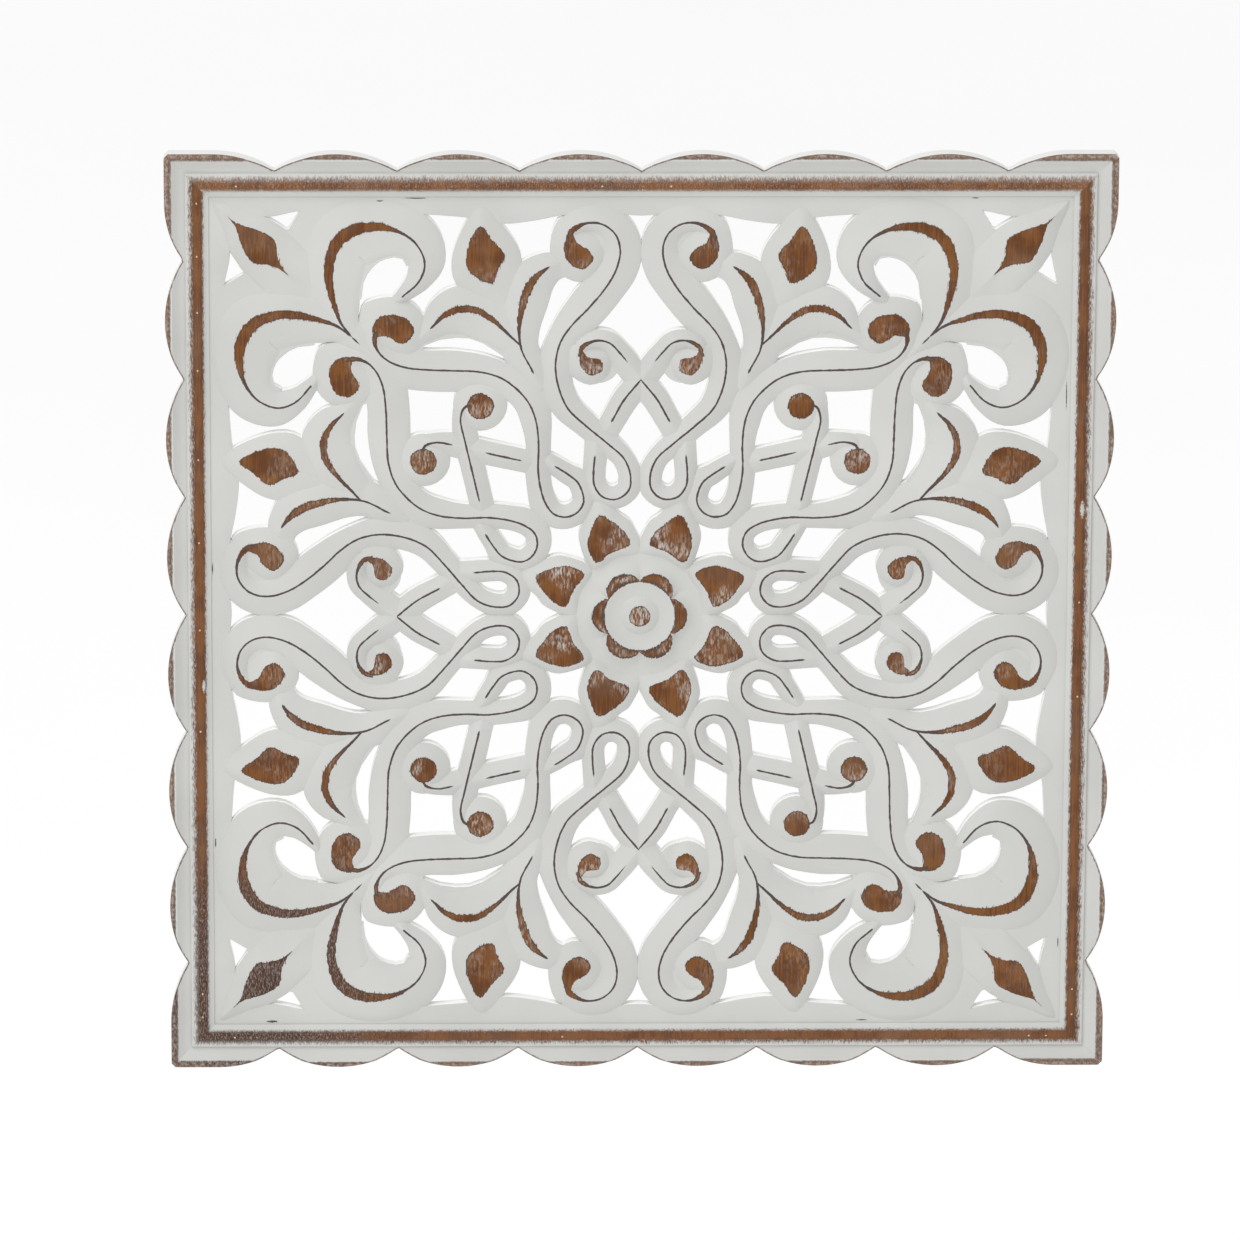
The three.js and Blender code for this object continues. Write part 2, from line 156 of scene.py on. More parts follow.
def smooth_run(points: list[Vector], step: float, closed: bool = False) -> list[Vector]:
    """Centripetal Catmull-Rom curve through points whose first two values are a place.

    Args:
        points: Values to pass through; what follows the place is blended with it.
        step: Longest distance between two results, in millimetres.
        closed: Whether the curve returns to its start.

    Returns:
        The values along the curve, without the first one again where it is closed.
    """
    if closed:
        padded = [points[-1], *points, points[0], points[1]]
    else:
        padded = [points[0] * 2 - points[1], *points, points[-1] * 2 - points[-2]]
    run = []
    for a, b, c, d in zip(padded, padded[1:], padded[2:], padded[3:]):
        chords = [math.hypot(q[0] - p[0], q[1] - p[1]) for p, q in ((a, b), (b, c), (c, d))]
        before, within, after = (max(chord, 1e-3) ** 0.5 for chord in chords)
        leave = (b - a) / before - (c - a) / (before + within) + (c - b) / within
        reach = (c - b) / within - (d - b) / (within + after) + (d - c) / after
        steps = max(1, math.ceil(chords[1] / step))
        for part in range(steps):
            u = part / steps
            run.append(
                b * (2 * u**3 - 3 * u**2 + 1)
                + leave * (within * (u**3 - 2 * u**2 + u))
                + c * (3 * u**2 - 2 * u**3)
                + reach * (within * (u**3 - u**2))
            )
    if not closed:
        run.append(points[-1].copy())
    return run


def slope(run: float, rise: float) -> list[Point]:
    """Carved slope from a sanded top down to the rounded edge of a hole.

    Args:
        run: Width of the slope, in millimetres.
        rise: Height of the top above the board's face.

    Returns:
        Distances out from the top with the drop there, ending on the upright side.
    """
    soft = min(0.45, run * 0.1)
    edge = min(1.0, run * 0.2)
    return [
        (soft, rise * 0.025),
        (run * 0.34, rise * 0.33),
        (run * 0.68, rise * 0.68),
        (run - edge, rise * 0.94),
        (run - edge * 0.3, rise * 0.98 + 0.25),
        (run, rise + 1.0),
    ]


def settled(name: str, shaper: bmesh.types.BMesh) -> Mesh:
    """New mesh of what a bmesh holds; the bmesh is used up."""
    mesh = bpy.data.meshes.new(name)
    shaper.to_mesh(mesh)
    shaper.free()
    return mesh


def loft(name: str, rings: list[Ring], wrapped: bool = False) -> Mesh:
    """Closed skin over rings of equal count.

    Args:
        name: Name of the mesh.
        rings: Rings of spots, all turning the same way.
        wrapped: Whether the last ring joins the first, in place of two flat ends.

    Returns:
        The mesh, with its faces outwards and the wear and the painted-highlight mark kept on its vertices.
    """
    shaper = bmesh.new()
    wear = [shaper.verts.layers.float.new(kind) for kind in Spot._fields[1:]]
    columns = [[*ring, ring[0]] for ring in rings]
    if wrapped:
        columns.append(columns[0])
    across, along = len(columns[0]) - 1, len(columns) - 1
    grid = bmesh.ops.create_grid(shaper, x_segments=across, y_segments=along, size=1.0)
    for vert in grid["verts"]:
        column = round((vert.co.x + 1) / 2 * across)
        row = round((vert.co.y + 1) / 2 * along)
        vert.co, *worn = columns[row][column]
        for layer, value in zip(wear, worn):
            vert[layer] = value
    bmesh.ops.remove_doubles(shaper, verts=shaper.verts, dist=1e-7)
    open_edges = [edge for edge in shaper.edges if edge.is_boundary]
    if open_edges:
        bmesh.ops.holes_fill(shaper, edges=open_edges, sides=0)
    bmesh.ops.recalc_face_normals(shaper, faces=shaper.faces)
    return settled(name, shaper)


def turned_copy(mesh: Mesh, matrix: Matrix) -> Mesh:
    """Copy of a mesh turned or mirrored about the origin, its faces still outwards.

    Args:
        mesh: Mesh to copy.
        matrix: Turn or mirror.

    Returns:
        The copy.
    """
    copy = mesh.copy()
    copy.transform(matrix)
    if matrix.determinant() < 0:
        copy.flip_normals()
    return copy


def fused(name: str, meshes: list[Mesh]) -> Mesh:
    """One solid skin round overlapping closed meshes.

    Args:
        name: Name of the result.
        meshes: Closed meshes; they are used up.

    Returns:
        The union.
    """
    scene_root = bpy.context.scene.collection
    group = bpy.data.collections.new(name + "_parts")
    scene_root.children.link(group)
    base = bpy.data.objects.new(name, meshes[0])
    scene_root.objects.link(base)
    for mesh in meshes[1:]:
        group.objects.link(bpy.data.objects.new(mesh.name, mesh))
    union = base.modifiers.new("union", "BOOLEAN")
    union.operation = "UNION"
    union.solver = "MANIFOLD"
    union.operand_type = "COLLECTION"
    union.collection = group
    evaluated = base.evaluated_get(bpy.context.evaluated_depsgraph_get())
    result = bpy.data.meshes.new_from_object(evaluated)
    result.name = name
    for piece in [base, *group.objects]:
        used = piece.data
        bpy.data.objects.remove(piece)
        if used.users == 0:
            bpy.data.meshes.remove(used)
    bpy.data.collections.remove(group)
    return result


def carry_wear(mesh: Mesh) -> None:
    """Give the points made where sanded tops meet the wear of a slope at their level.

    Args:
        mesh: Fused board, in which those points have no wear yet.
    """
    for vert, sanded in zip(mesh.vertices, mesh.attributes["sanded"].data):
        drop = CREST_LEVEL + vert.co.y / MM
        if drop < 0.5 and sanded.value < 0.5:
            sanded.value = WORN_EDGE - max(0.0, drop) * 4.5


def finished_piece(
    name: str, mesh: Mesh, material: bpy.types.Material
) -> bpy.types.Object:
    """Object at the origin with soft shading between its crisp edges.

    Args:
        name: Name of the piece.
        mesh: Its mesh, with its place in it.
        material: Its finish.

    Returns:
        The piece, in the scene.
    """
    mesh.materials.clear()
    mesh.materials.append(material)
    mesh.shade_smooth()
    mesh.set_sharp_from_angle(angle=SHARP_EDGE)
    piece = bpy.data.objects.new(name, mesh)
    bpy.context.scene.collection.objects.link(piece)
    return piece


@dataclass
class Ribbon:
    """Carved ribbon: slopes on both sides of a sanded line or crescent, bent along its stations."""

    name: str
    stations: list[Station]

    def meshes(self) -> list[Mesh]:
        """Make the closed parts of the ribbon, each too short to reach round to itself.

        Returns:
            The parts in order.
        """
        run = smooth_run([Vector(values) for values in self.stations], SECTION_STEP)
        rings = [self._section(run, index) for index in range(len(run))]
        reach = [0.0]
        for a, b in zip(run, run[1:]):
            reach.append(reach[-1] + math.hypot(b[0] - a[0], b[1] - a[1]))
        parts = math.ceil(reach[-1] / PART_LENGTH)
        cuts = [round((len(run) - 1) * part / parts) for part in range(parts + 1)]
        return [
            loft(f"{self.name}_{index}", rings[start : end + 1])
            for index, (start, end) in enumerate(zip(cuts, cuts[1:]))
        ]

    def _rooms(self, run: list[Vector], index: int) -> list[float]:
        """Find how wide the back may be before it folds where the ribbon turns.

        Args:
            run: Smooth values along the ribbon.
            index: Which of them to look at.

        Returns:
            The widths to the left and right.
        """
        rooms = [math.inf, math.inf]
        for first in (index - 2, index - 1, index, index + 1):
            if 0 <= first < len(run) - 1:
                turned = self._ahead(run, first).angle_signed(self._ahead(run, first + 1), 0.0)
                pace = (run[first + 1].xy - run[first].xy).length
                inner = 0 if turned < 0 else 1
                rooms[inner] = min(rooms[inner], BACK_SHARE * pace / max(abs(turned), 1e-6))
        return rooms

    def _ahead(self, run: list[Vector], index: int) -> Vector:
        """Direction of the ribbon at one place of its run."""
        return (run[min(len(run) - 1, index + 1)].xy - run[max(0, index - 1)].xy).normalized()

    def _section(self, run: list[Vector], index: int) -> Ring:
        """Make the ring across the ribbon at one place of its run.

        Args:
            run: Smooth values along the ribbon.
            index: Which of them the ring is at.

        Returns:
            The ring, from the right foot over the crest to the left one.
        """
        x, z, left, right, crest, flat = run[index]
        ahead = self._ahead(run, index)
        rooms = self._rooms(run, index)
        crest = min(crest, CREST_LEVEL)
        half = max(flat, 0.2) / 2
        broad = min(1.0, max(0.0, (half - 0.4) / 1.2))
        fade = (CREST_LEVEL - crest) * 2.4
        crown = min(0.2, half * 0.08)
        ring = [(0.0, crest + crown, WORN_EDGE + half - fade)]
        for direction, width, room in ((1, left, rooms[0]), (-1, right, rooms[1])):
            side = [(half, crest, WORN_EDGE - fade)]
            for out, drop in slope(max(width - half, 1.0), crest - BOARD_LEVEL):
                side.append((half + out, crest - drop, WORN_EDGE - fade - out))
            side.append((min(side[-1][0], room), 0.0, 0.0))
            side = [(direction * out, level, worn) for out, level, worn in side]
            ring = ring + side if direction > 0 else side[::-1] + ring
        return [
            Spot(at(x - ahead[1] * out, z + ahead[0] * out, level), max(0.0, worn), broad)
            for out, level, worn in ring
        ]


@dataclass
class Mound:
    """Flat-topped carving whose outline slopes down to a wider foot of as many points."""

    name: str
    top: list[Point]
    foot: list[Point]
    crown: float = 0.15
    step: float = 3.0
    shares: tuple[float, ...] = (0.82, 0.5)

    def meshes(self) -> list[Mesh]:
        """Make the one closed mesh of the carving.

        Returns:
            The mesh, in a list.
        """
        paired = [Vector((*top, *foot)) for top, foot in zip(self.top, self.foot)]
        outline = smooth_run(paired, self.step, closed=True)
        middle = Vector((0.0, 0.0))
        for point in outline:
            middle += point.xy / len(outline)
        reach = sum((point.xy - middle).length for point in outline) / len(outline)
        ways = [Vector((point[2] - point[0], point[3] - point[1])) for point in outline]
        rise = CREST_LEVEL - BOARD_LEVEL
        falls = [slope(way.length, rise) for way in ways]
        rings = [[Spot(at(point[2], point[3], 0.0)) for point in outline]]
        for index in reversed(range(len(falls[0]))):
            ring = []
            for point, way, fall in zip(outline, ways, falls):
                out, drop = fall[index]
                place = point.xy + way.normalized() * out
                spot = at(place.x, place.y, CREST_LEVEL - drop)
                ring.append(Spot(spot, max(0.0, WORN_EDGE - out), 1.0))
            rings.append(ring)
        rings.append([Spot(at(point[0], point[1], CREST_LEVEL), WORN_EDGE, 1.0) for point in outline])
        for share in self.shares:
            places = [middle + (point.xy - middle) * share for point in outline]
            level = CREST_LEVEL + self.crown * (1 - share)
            worn = WORN_EDGE + reach * (1 - share)
            rings.append([Spot(at(place.x, place.y, level), worn, 1.0) for place in places])
        return [loft(self.name, rings)]


def circle(centre: Point, radius: float, count: int = 12) -> list[Point]:
    """Evenly spaced points on a circle, which starts on the right."""
    turns = [2 * math.pi * index / count for index in range(count)]
    return [(centre[0] + radius * math.cos(turn), centre[1] + radius * math.sin(turn)) for turn in turns]


def ground(name: str, outline: list[Point]) -> Mesh:
    """Plain plate as thick as the board."""
    return loft(name, [[Spot(at(x, z, level)) for x, z in outline] for level in (0.0, BOARD_LEVEL)])


@dataclass
class Rosette:
    """Six-lobed flower with a dished middle and a button, on a round ground."""

    lobes: int = 6
    ground_radius: float = 47.0
    lobe_valley: float = 22.9
    lobe_reach: float = 7.2
    lobe_skirt: float = 5.5
    dish_radius: float = 22.6
    dish_level: float = 10.0
    button_foot: float = 12.5
    button_radius: float = 6.5

    def _ring(self, radius: float, reach: float, level: float, worn: float, broad: float = 1.0) -> Ring:
        """Make a ring whose radius swells at each lobe.

        Args:
            radius: Radius between the lobes.
            reach: What a lobe adds to it.
            level: Level above the wall.
            worn: Sanded value.
            broad: Share in which the sanding is broad.

        Returns:
            The ring.
        """
        ring = []
        for index in range(ROUND_STEPS):
            turn = 2 * math.pi * index / ROUND_STEPS
            swell = abs(math.cos(self.lobes * turn / 2)) ** 0.75
            distance = radius + reach * swell
            place = at(distance * math.cos(turn), distance * math.sin(turn), level)
            ring.append(Spot(place, worn, broad))
        return ring

    def meshes(self) -> list[Mesh]:
        """Make the one closed mesh of the flower and its ground.

        Returns:
            The mesh, in a list.
        """
        rise = CREST_LEVEL - BOARD_LEVEL
        rings = [
            self._ring(self.ground_radius, 0, 0.0, 0.0),
            self._ring(self.ground_radius, 0, BOARD_LEVEL, 0.0),
            self._ring(self.lobe_valley + self.lobe_skirt + 2.5, self.lobe_reach, BOARD_LEVEL, 0.0),
        ]
        for out, drop in reversed(slope(self.lobe_skirt, rise)[:3]):
            worn = max(0.0, WORN_EDGE - out)
            rings.append(self._ring(self.lobe_valley + out, self.lobe_reach, CREST_LEVEL - drop, worn))
        inner, flat = self.dish_radius, self.lobe_valley - self.dish_radius
        rings += [
            self._ring(self.lobe_valley, self.lobe_reach, CREST_LEVEL, WORN_EDGE),
            self._ring(inner + flat * 0.6, self.lobe_reach * 0.6, CREST_LEVEL + 0.06, WORN_EDGE + 1.1),
            self._ring(inner, 0, CREST_LEVEL, WORN_EDGE),
            self._ring(inner - 0.6, 0, CREST_LEVEL - 0.2, WORN_EDGE - 0.7),
            self._ring(inner - 3.4, 0, self.dish_level + 1.1, 0.0),
            self._ring(self.button_foot + 3.4, 0, self.dish_level + 0.1, 0.0),
            self._ring(self.button_foot, 0, self.dish_level, 0.0),
            self._ring(self.button_foot - 2.2, 0, self.dish_level + 1.4, 0.0),
            self._ring(self.button_radius + 0.7, 0, CREST_LEVEL - 0.3, WORN_EDGE - 0.8),
            self._ring(self.button_radius, 0, CREST_LEVEL, WORN_EDGE),
            self._ring(self.button_radius * 0.5, 0, CREST_LEVEL + 0.1, WORN_EDGE + 2.0),
        ]
        return [loft("rosette", rings)]


@dataclass
class Border:
    """Flat border round the openwork, dropping a little from the moulding to the holes."""

    edge: list[Point]

    def meshes(self) -> list[Mesh]:
        """Make the one closed mesh, a square ring.

        Returns:
            The mesh, in a list.
        """
        quarter = [*self.edge, *[(z, x) for x, z in self.edge[-2:0:-1]]]
        outline = []
        for turn in range(4):
            for x, z in quarter:
                for _ in range(turn):
                    x, z = z, -x
                outline.append(Vector((x, z)))
        inner = smooth_run(outline, 6.0, closed=True)
        outer_half = PANEL_HALF - FRAME_WIDTH + BOARD_TUCK
        visible_half = PANEL_HALF - FRAME_WIDTH
        rings = [[Spot(at(p.x, p.y, level)) for p in inner] for level in (0.0, BOARD_LEVEL - 1.0)]
        for out, level in ((0.3, BOARD_LEVEL - 0.3), (1.1, BOARD_LEVEL)):
            places = [p * (1 + out / p.length) for p in inner]
            rings.append([Spot(at(p.x, p.y, level)) for p in places])
        for half, level in ((visible_half, BOARD_LEVEL), (outer_half, BOARD_LEVEL), (outer_half, 0.0)):
            places = [p * (half / max(abs(p.x), abs(p.y))) for p in inner]
            rings.append([Spot(at(p.x, p.y, level)) for p in places])
        return [loft("border", rings, wrapped=True)]


SCROLL = Ribbon("scroll", [
    station(46.5, 244.5, 6, 8, CREST_LEVEL - 0.1, flat=3),
    station(44.1, 250.3, 6, 9.5, flat=3.4),
    station(35.1, 255.6, 7, 10.8, flat=1.3),
    *arc((31, 238.5), (17.6, 17.6), (111, 180), 3, (8, 12), (10, 13.9)),
    station(15.8, 226, 12, 14),
    station(22.5, 214, 13.4, 13),
    station(33.5, 200.5, 13.3, 13.2),
    station(43.4, 190.2, 10.8, 13),
    station(50.8, 179, 9, 12),
    station(53.9, 165, 10.8, 11),
    station(52.2, 150.5, 12, 9.6),
    station(46, 135.8, 10, 9),
    station(35, 125, 8.6, 8.1),
    station(21, 113.2, 8.5, 7),
    station(10.2, 103, 8.1, 5.9),
    *arc((17.6, 88.5), (11.8, 12), (165, 345), 5, (7.8, 7.4), (7.7, 7.6)),
    station(29.7, 94.5, 7.9, 6.8),
    station(28.9, 104, 8, 7),
    station(28, 119, 7, 7, TUCK_LEVEL),
])
SMALL_SCROLL = Ribbon("small_scroll", [
    station(38.8, 169.5, 5, 6, CREST_LEVEL - 0.1, flat=2.4),
    station(36.8, 175.7, 6, 6.5, flat=2.6),
    station(28.9, 179.8, 7, 6.5, flat=1),
    *arc((26.5, 165.5), (14.5, 14.5), (116, 152), 2, (8, 6.5), (9, 6.5)),
    station(8.6, 166, 10, 7, CREST_LEVEL - 0.2),
    station(4.2, 160, 10, 7, CREST_LEVEL - 0.8),
    station(0, 154.5, 10, 7.2, CREST_LEVEL - 0.1),
    station(-10.6, 141.4, 9.8, 7.2),
    station(-18, 128, 9, 7),
    station(-24, 118, 9, 7, TUCK_LEVEL),
])
CORNER_SCROLL = Ribbon("corner_scroll", [
    station(166, 188, 9, 6, CREST_LEVEL - 0.1, flat=2.4),
    station(168.2, 180.5, 9.5, 7, flat=2.4),
    station(165.8, 173, 10.5, 8, flat=0.8),
    station(160, 167.2, 12.5, 10),
    station(149.5, 162.8, 14.5, 12),
    station(134, 161, 15, 11.8),
    station(118, 160.5, 15, 12.2),
    station(101, 159.6, 14, 10.4),
    station(87.5, 155.3, 13, 9.8),
    station(77.5, 147.7, 10.5, 13),
    station(70.3, 138.6, 10, 13),
    station(66, 127, 10, 10),
    station(64.5, 112, 8.3, 8),
    station(64.8, 96, 8.3, 8.2),
    station(62.8, 82.3, 9, 7.4),
    *arc((48, 77.4), (12.3, 12.3), (-20, -170), 5, (10.6, 7.2), (7.6, 7.2)),
    station(39.2, 87.2, 8.6, 7.2),
    station(46.2, 93.2, 6, 7.6),
    station(53, 97.6, 5.6, 7),
    station(64, 104, 5, 5, TUCK_LEVEL),
])
CURL_HEAD = [
    station(105, 139, 5, 5, CREST_LEVEL - 0.1, flat=1.4),
    station(111.6, 136.4, 6, 6, flat=1.2),
    station(113.9, 129, 5.4, 8),
]
CURL_TAIL = [
    station(102.2, 76.5, 7, 8.5),
    station(99.6, 65, 7, 8.5, TUCK_LEVEL),
]
INNER_CURL = Ribbon("inner_curl", [
    *CURL_HEAD,
    station(111.4, 116, 7.4, 8.8),
    station(107, 97, 7, 8.8),
    *CURL_TAIL,
])
UNDER_CURL = Ribbon("under_curl", [
    *CURL_HEAD,
    station(112.8, 121.5, 7, 8.5),
    station(111.4, 116, 7.4, 8.8, CREST_LEVEL - 0.5),
    station(109.7, 109, 7.2, 8.8, CREST_LEVEL - 0.8),
    station(108, 101.4, 7, 8.8, CREST_LEVEL - 0.5),
    station(106.4, 95, 7, 8.8),
    *CURL_TAIL,
])
INNER_LEAF = Ribbon("inner_leaf", [
    station(63.4, 147, 9, 9, TUCK_LEVEL),
    station(68.4, 160, 9, 10),
    station(75.2, 173.5, 11, 13),
    station(77, 187, 13.5, 13, flat=1.6),
    station(74.6, 203.6, 15.8, 14, flat=4),
    station(69, 217.6, 15, 14, flat=4.6),
    station(59, 227, 12, 9.5, flat=1),
    station(48, 231, 10, 5, TUCK_LEVEL),
])
OUTER_LEAF = Ribbon("outer_leaf", [
    station(76.0, 177, 13, 11),
    station(82.2, 182.6, 13, 13, flat=1),
    station(92, 192, 14, 17, flat=2.4),
    station(103.5, 199.4, 14, 19.4, flat=4),
    station(115.5, 200.2, 14, 18, flat=4),
    station(125.5, 195.2, 11.4, 15.6, flat=2.4),
    station(132, 188.6, 7.9, 10, flat=0.8),
    station(143, 178.6, 8, 5, TUCK_LEVEL),
])
VOLUTE = Ribbon("volute", [
    station(179, 179.1, 8, 8, CREST_LEVEL - 0.6),
    station(184, 184.3, 9, 9),
    station(189.4, 191.8, 13, 12, flat=1.2),
    station(193.6, 204, 17, 14, flat=3),
    station(196.6, 218, 21.6, 14, flat=4.6),
    station(196.2, 231, 23.4, 15, flat=5.6),
    station(191, 244, 22.8, 18, flat=7),
    station(181, 251.2, 25.6, 18, flat=7),
    station(168, 253.4, 24, 18, flat=5),
    station(154, 250.8, 19.6, 17.4, flat=2),
    station(142, 242.6, 14, 16.6),
    station(136.4, 230, 10.6, 13.2),
    station(140, 218.2, 8.8, 8),
    station(150.5, 208.4, 4.4, 5.2),
    station(155, 204.2, 3.6, 4, TUCK_LEVEL),
])
VOLUTE_STEM = Ribbon("volute_stem", [
    station(158, 158, 9, 9, TUCK_LEVEL),
    station(172, 172, 9, 9, TUCK_LEVEL + 2),
    station(182, 182, 10, 10, CREST_LEVEL - 0.1),
    station(192, 192, 8, 8, TUCK_LEVEL),
])
SCROLL_EYE = Mound(
    "scroll_eye",
    top=[(44, 250.4), (48.6, 241), (46, 231), (37, 226.3), (30.6, 232), (33, 238), (41, 243)],
    foot=[(50, 259), (57.4, 243), (54.6, 225.4), (38, 216.6), (23.6, 228), (24, 240), (35, 252)],
)
SMALL_EYE = Mound(
    "small_eye",
    top=[(37.6, 174), (38, 164.6), (31.6, 157.6), (24.6, 161), (25.6, 167.6), (33.6, 169)],
    foot=[(46, 178), (46, 159), (32, 150), (20.6, 155.8), (18, 168), (28, 175)],
)
CORNER_EYE = Mound(
    "corner_eye",
    top=[(143.5, 185), (146, 192.4), (154, 196.2), (164, 195.4), (169, 189), (168.4, 182.6),
         (160.6, 183.2), (150.6, 178)],
    foot=[(134.4, 185), (139.6, 198.8), (151, 206.4), (166, 206.4), (176.6, 200), (177.4, 180),
          (164, 171.4), (145, 167.6)],
)
BUD = Mound(
    "bud",
    top=[(94, 217.2), (108.6, 225.3), (110, 236), (101.4, 253.6), (94, 244.6), (86.3, 235), (90.4, 226)],
    foot=[(86, 196), (116.4, 214.8), (118.8, 235), (101, 266), (85.6, 251.6), (75.4, 232.4), (78, 212)],
)
PETAL = Mound(
    "petal",
    top=[(6.6, 47.3), (18.6, 41.7), (27.6, 35.4), (32.8, 46), (31, 56.6), (25.9, 65.9), (16, 60.6),
         (8.4, 53)],
    foot=[(-2, 43), (14, 37.4), (30, 29.4), (38.4, 47), (37.2, 59), (26, 80), (13, 66.6), (4.6, 59)],
)
CURL_EYE = Mound("curl_eye", top=circle((101.4, 137.5), 8.2), foot=circle((101.4, 137.5), 17.3))
CORNER_BUD_TOP = [
    (222, 222), (226.6, 228), (229.4, 235.6), (230.6, 244.4), (240, 250.6), (250.4, 254), (255, 255.6),
    (260, 260),
]
CORNER_BUD_FOOT = [
    (206, 206), (204.6, 216), (207, 232), (221.6, 248.6), (230, 255), (239, 260), (250, 263.4), (270, 270),
]
GROUNDS = [
    circle((32, 238), 20, 32),
    circle((27, 166), 14.5, 32),
    circle((158, 180), 21, 32),
    [(214, 272), (214.4, 263.4), (218.2, 256.8), (221.8, 251), (228, 249.4), (228, 238), (214, 228),
     (196, 240), (184, 256), (184, 272)],
    [(176.2, 206), (175, 216.2), (172.4, 222), (169.7, 225.4), (167.4, 228), (164.6, 230.1), (161, 231.7),
     (155.8, 232.8), (150.4, 231.8), (147.8, 227), (141, 232), (150, 244), (168, 247), (182, 242),
     (188, 230), (188, 216), (186, 204)],
    [(137.4, 175.4), (134.4, 176.7), (126.7, 179.6), (116.7, 180.9), (108.3, 180.5), (99.6, 177.3),
     (91.2, 171.8), (85.4, 167.6), (82, 172), (92, 184), (108, 190), (126, 188), (137, 180)],
]
BORDER_EDGE = [
    (0, 259.4), (24, 261.6), (50, 259.6), (66, 256.4), (88, 254.2), (110, 258.2), (139, 260.5), (176, 263.6),
    (212.7, 262.9), (229.6, 259.4), (237.6, 258.8), (262, 262),
]

# Marks in the finish: x, z, reach along x, reach along z
BORDER_SCRATCHES = (
    (-164.7, 269.4, 2.5, 0.5), (-142, 271, 8, 0.45), (210.3, 271, 2.5, 0.4), (269.7, 143, 0.35, 10),
    (270.4, -218, 0.4, 3.5), (144.4, -270.4, 3.5, 0.45), (-235.3, -270.6, 4, 0.9),
    (-270.7, -150.6, 0.5, 3.5), (-271.3, 30.6, 0.45, 4),
)
BEAD_CHIPS = ((-277.3, -45.4, 1.1, 4.2), (280.7, 70, 1.6, 6), (-295.7, -61.6, 1.6, 2.4))


def across_diagonal(points: list[Point]) -> list[Point]:
    """Whole outline from the half of it on one side of the diagonal."""
    return [*points, *[(z, x) for x, z in points[-2:0:-1]]]


@dataclass
class CarvedPanel:
    """The carved board: eight copies of one carved eighth, the corner buds, rosette and border."""

    material: bpy.types.Material
    rosette: Rosette = field(default_factory=Rosette)
    border: Border = field(default_factory=lambda: Border(BORDER_EDGE))

    def _eighth(self, curl: Ribbon) -> Mesh:
        """Make the carving between the upright middle line and the diagonal.

        Args:
            curl: Its inner curl, over or under the one that it crosses.

        Returns:
            The fused mesh.
        """
        meshes = []
        for carving in (SCROLL, SMALL_SCROLL, CORNER_SCROLL, curl, INNER_LEAF, OUTER_LEAF, VOLUTE,
                        SCROLL_EYE, SMALL_EYE, CORNER_EYE, BUD, PETAL, CURL_EYE):
            meshes += carving.meshes()
        meshes += [ground(f"ground_{index}", outline) for index, outline in enumerate(GROUNDS)]
        return fused("carved_eighth", meshes)

    def build(self) -> bpy.types.Object:
        """Make the board and let it stand for its CAD node.

        Returns:
            The finished piece.
        """
        upright, level = self._eighth(INNER_CURL), self._eighth(UNDER_CURL)
        log.info("carved eighth: %d faces", len(upright.polygons))
        swap = Matrix(((0, 0, 1, 0), (0, 1, 0, 0), (1, 0, 0, 0), (0, 0, 0, 1)))
        flip = Matrix.Diagonal((-1, 1, 1, 1))
        bud = Mound("corner_bud", across_diagonal(CORNER_BUD_TOP), across_diagonal(CORNER_BUD_FOOT))
        corner = [*VOLUTE_STEM.meshes(), *bud.meshes()]
        meshes = [*self.border.meshes(), *self.rosette.meshes()]
        for quarter in range(4):
            turn = Matrix.Rotation(math.pi / 2 * quarter, 4, "Y")
            meshes += [turned_copy(mesh, turn) for mesh in corner]
            if quarter % 2 == 0:
                for side in (Matrix.Identity(4), flip):
                    meshes.append(turned_copy(upright, turn @ side))
                    meshes.append(turned_copy(level, turn @ side @ swap))
        board = fused("carved_board", meshes)
        carry_wear(board)
        piece = finished_piece("carved_board", board, self.material)
        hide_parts("openwork_panel")
        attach(piece, "root")
        return piece


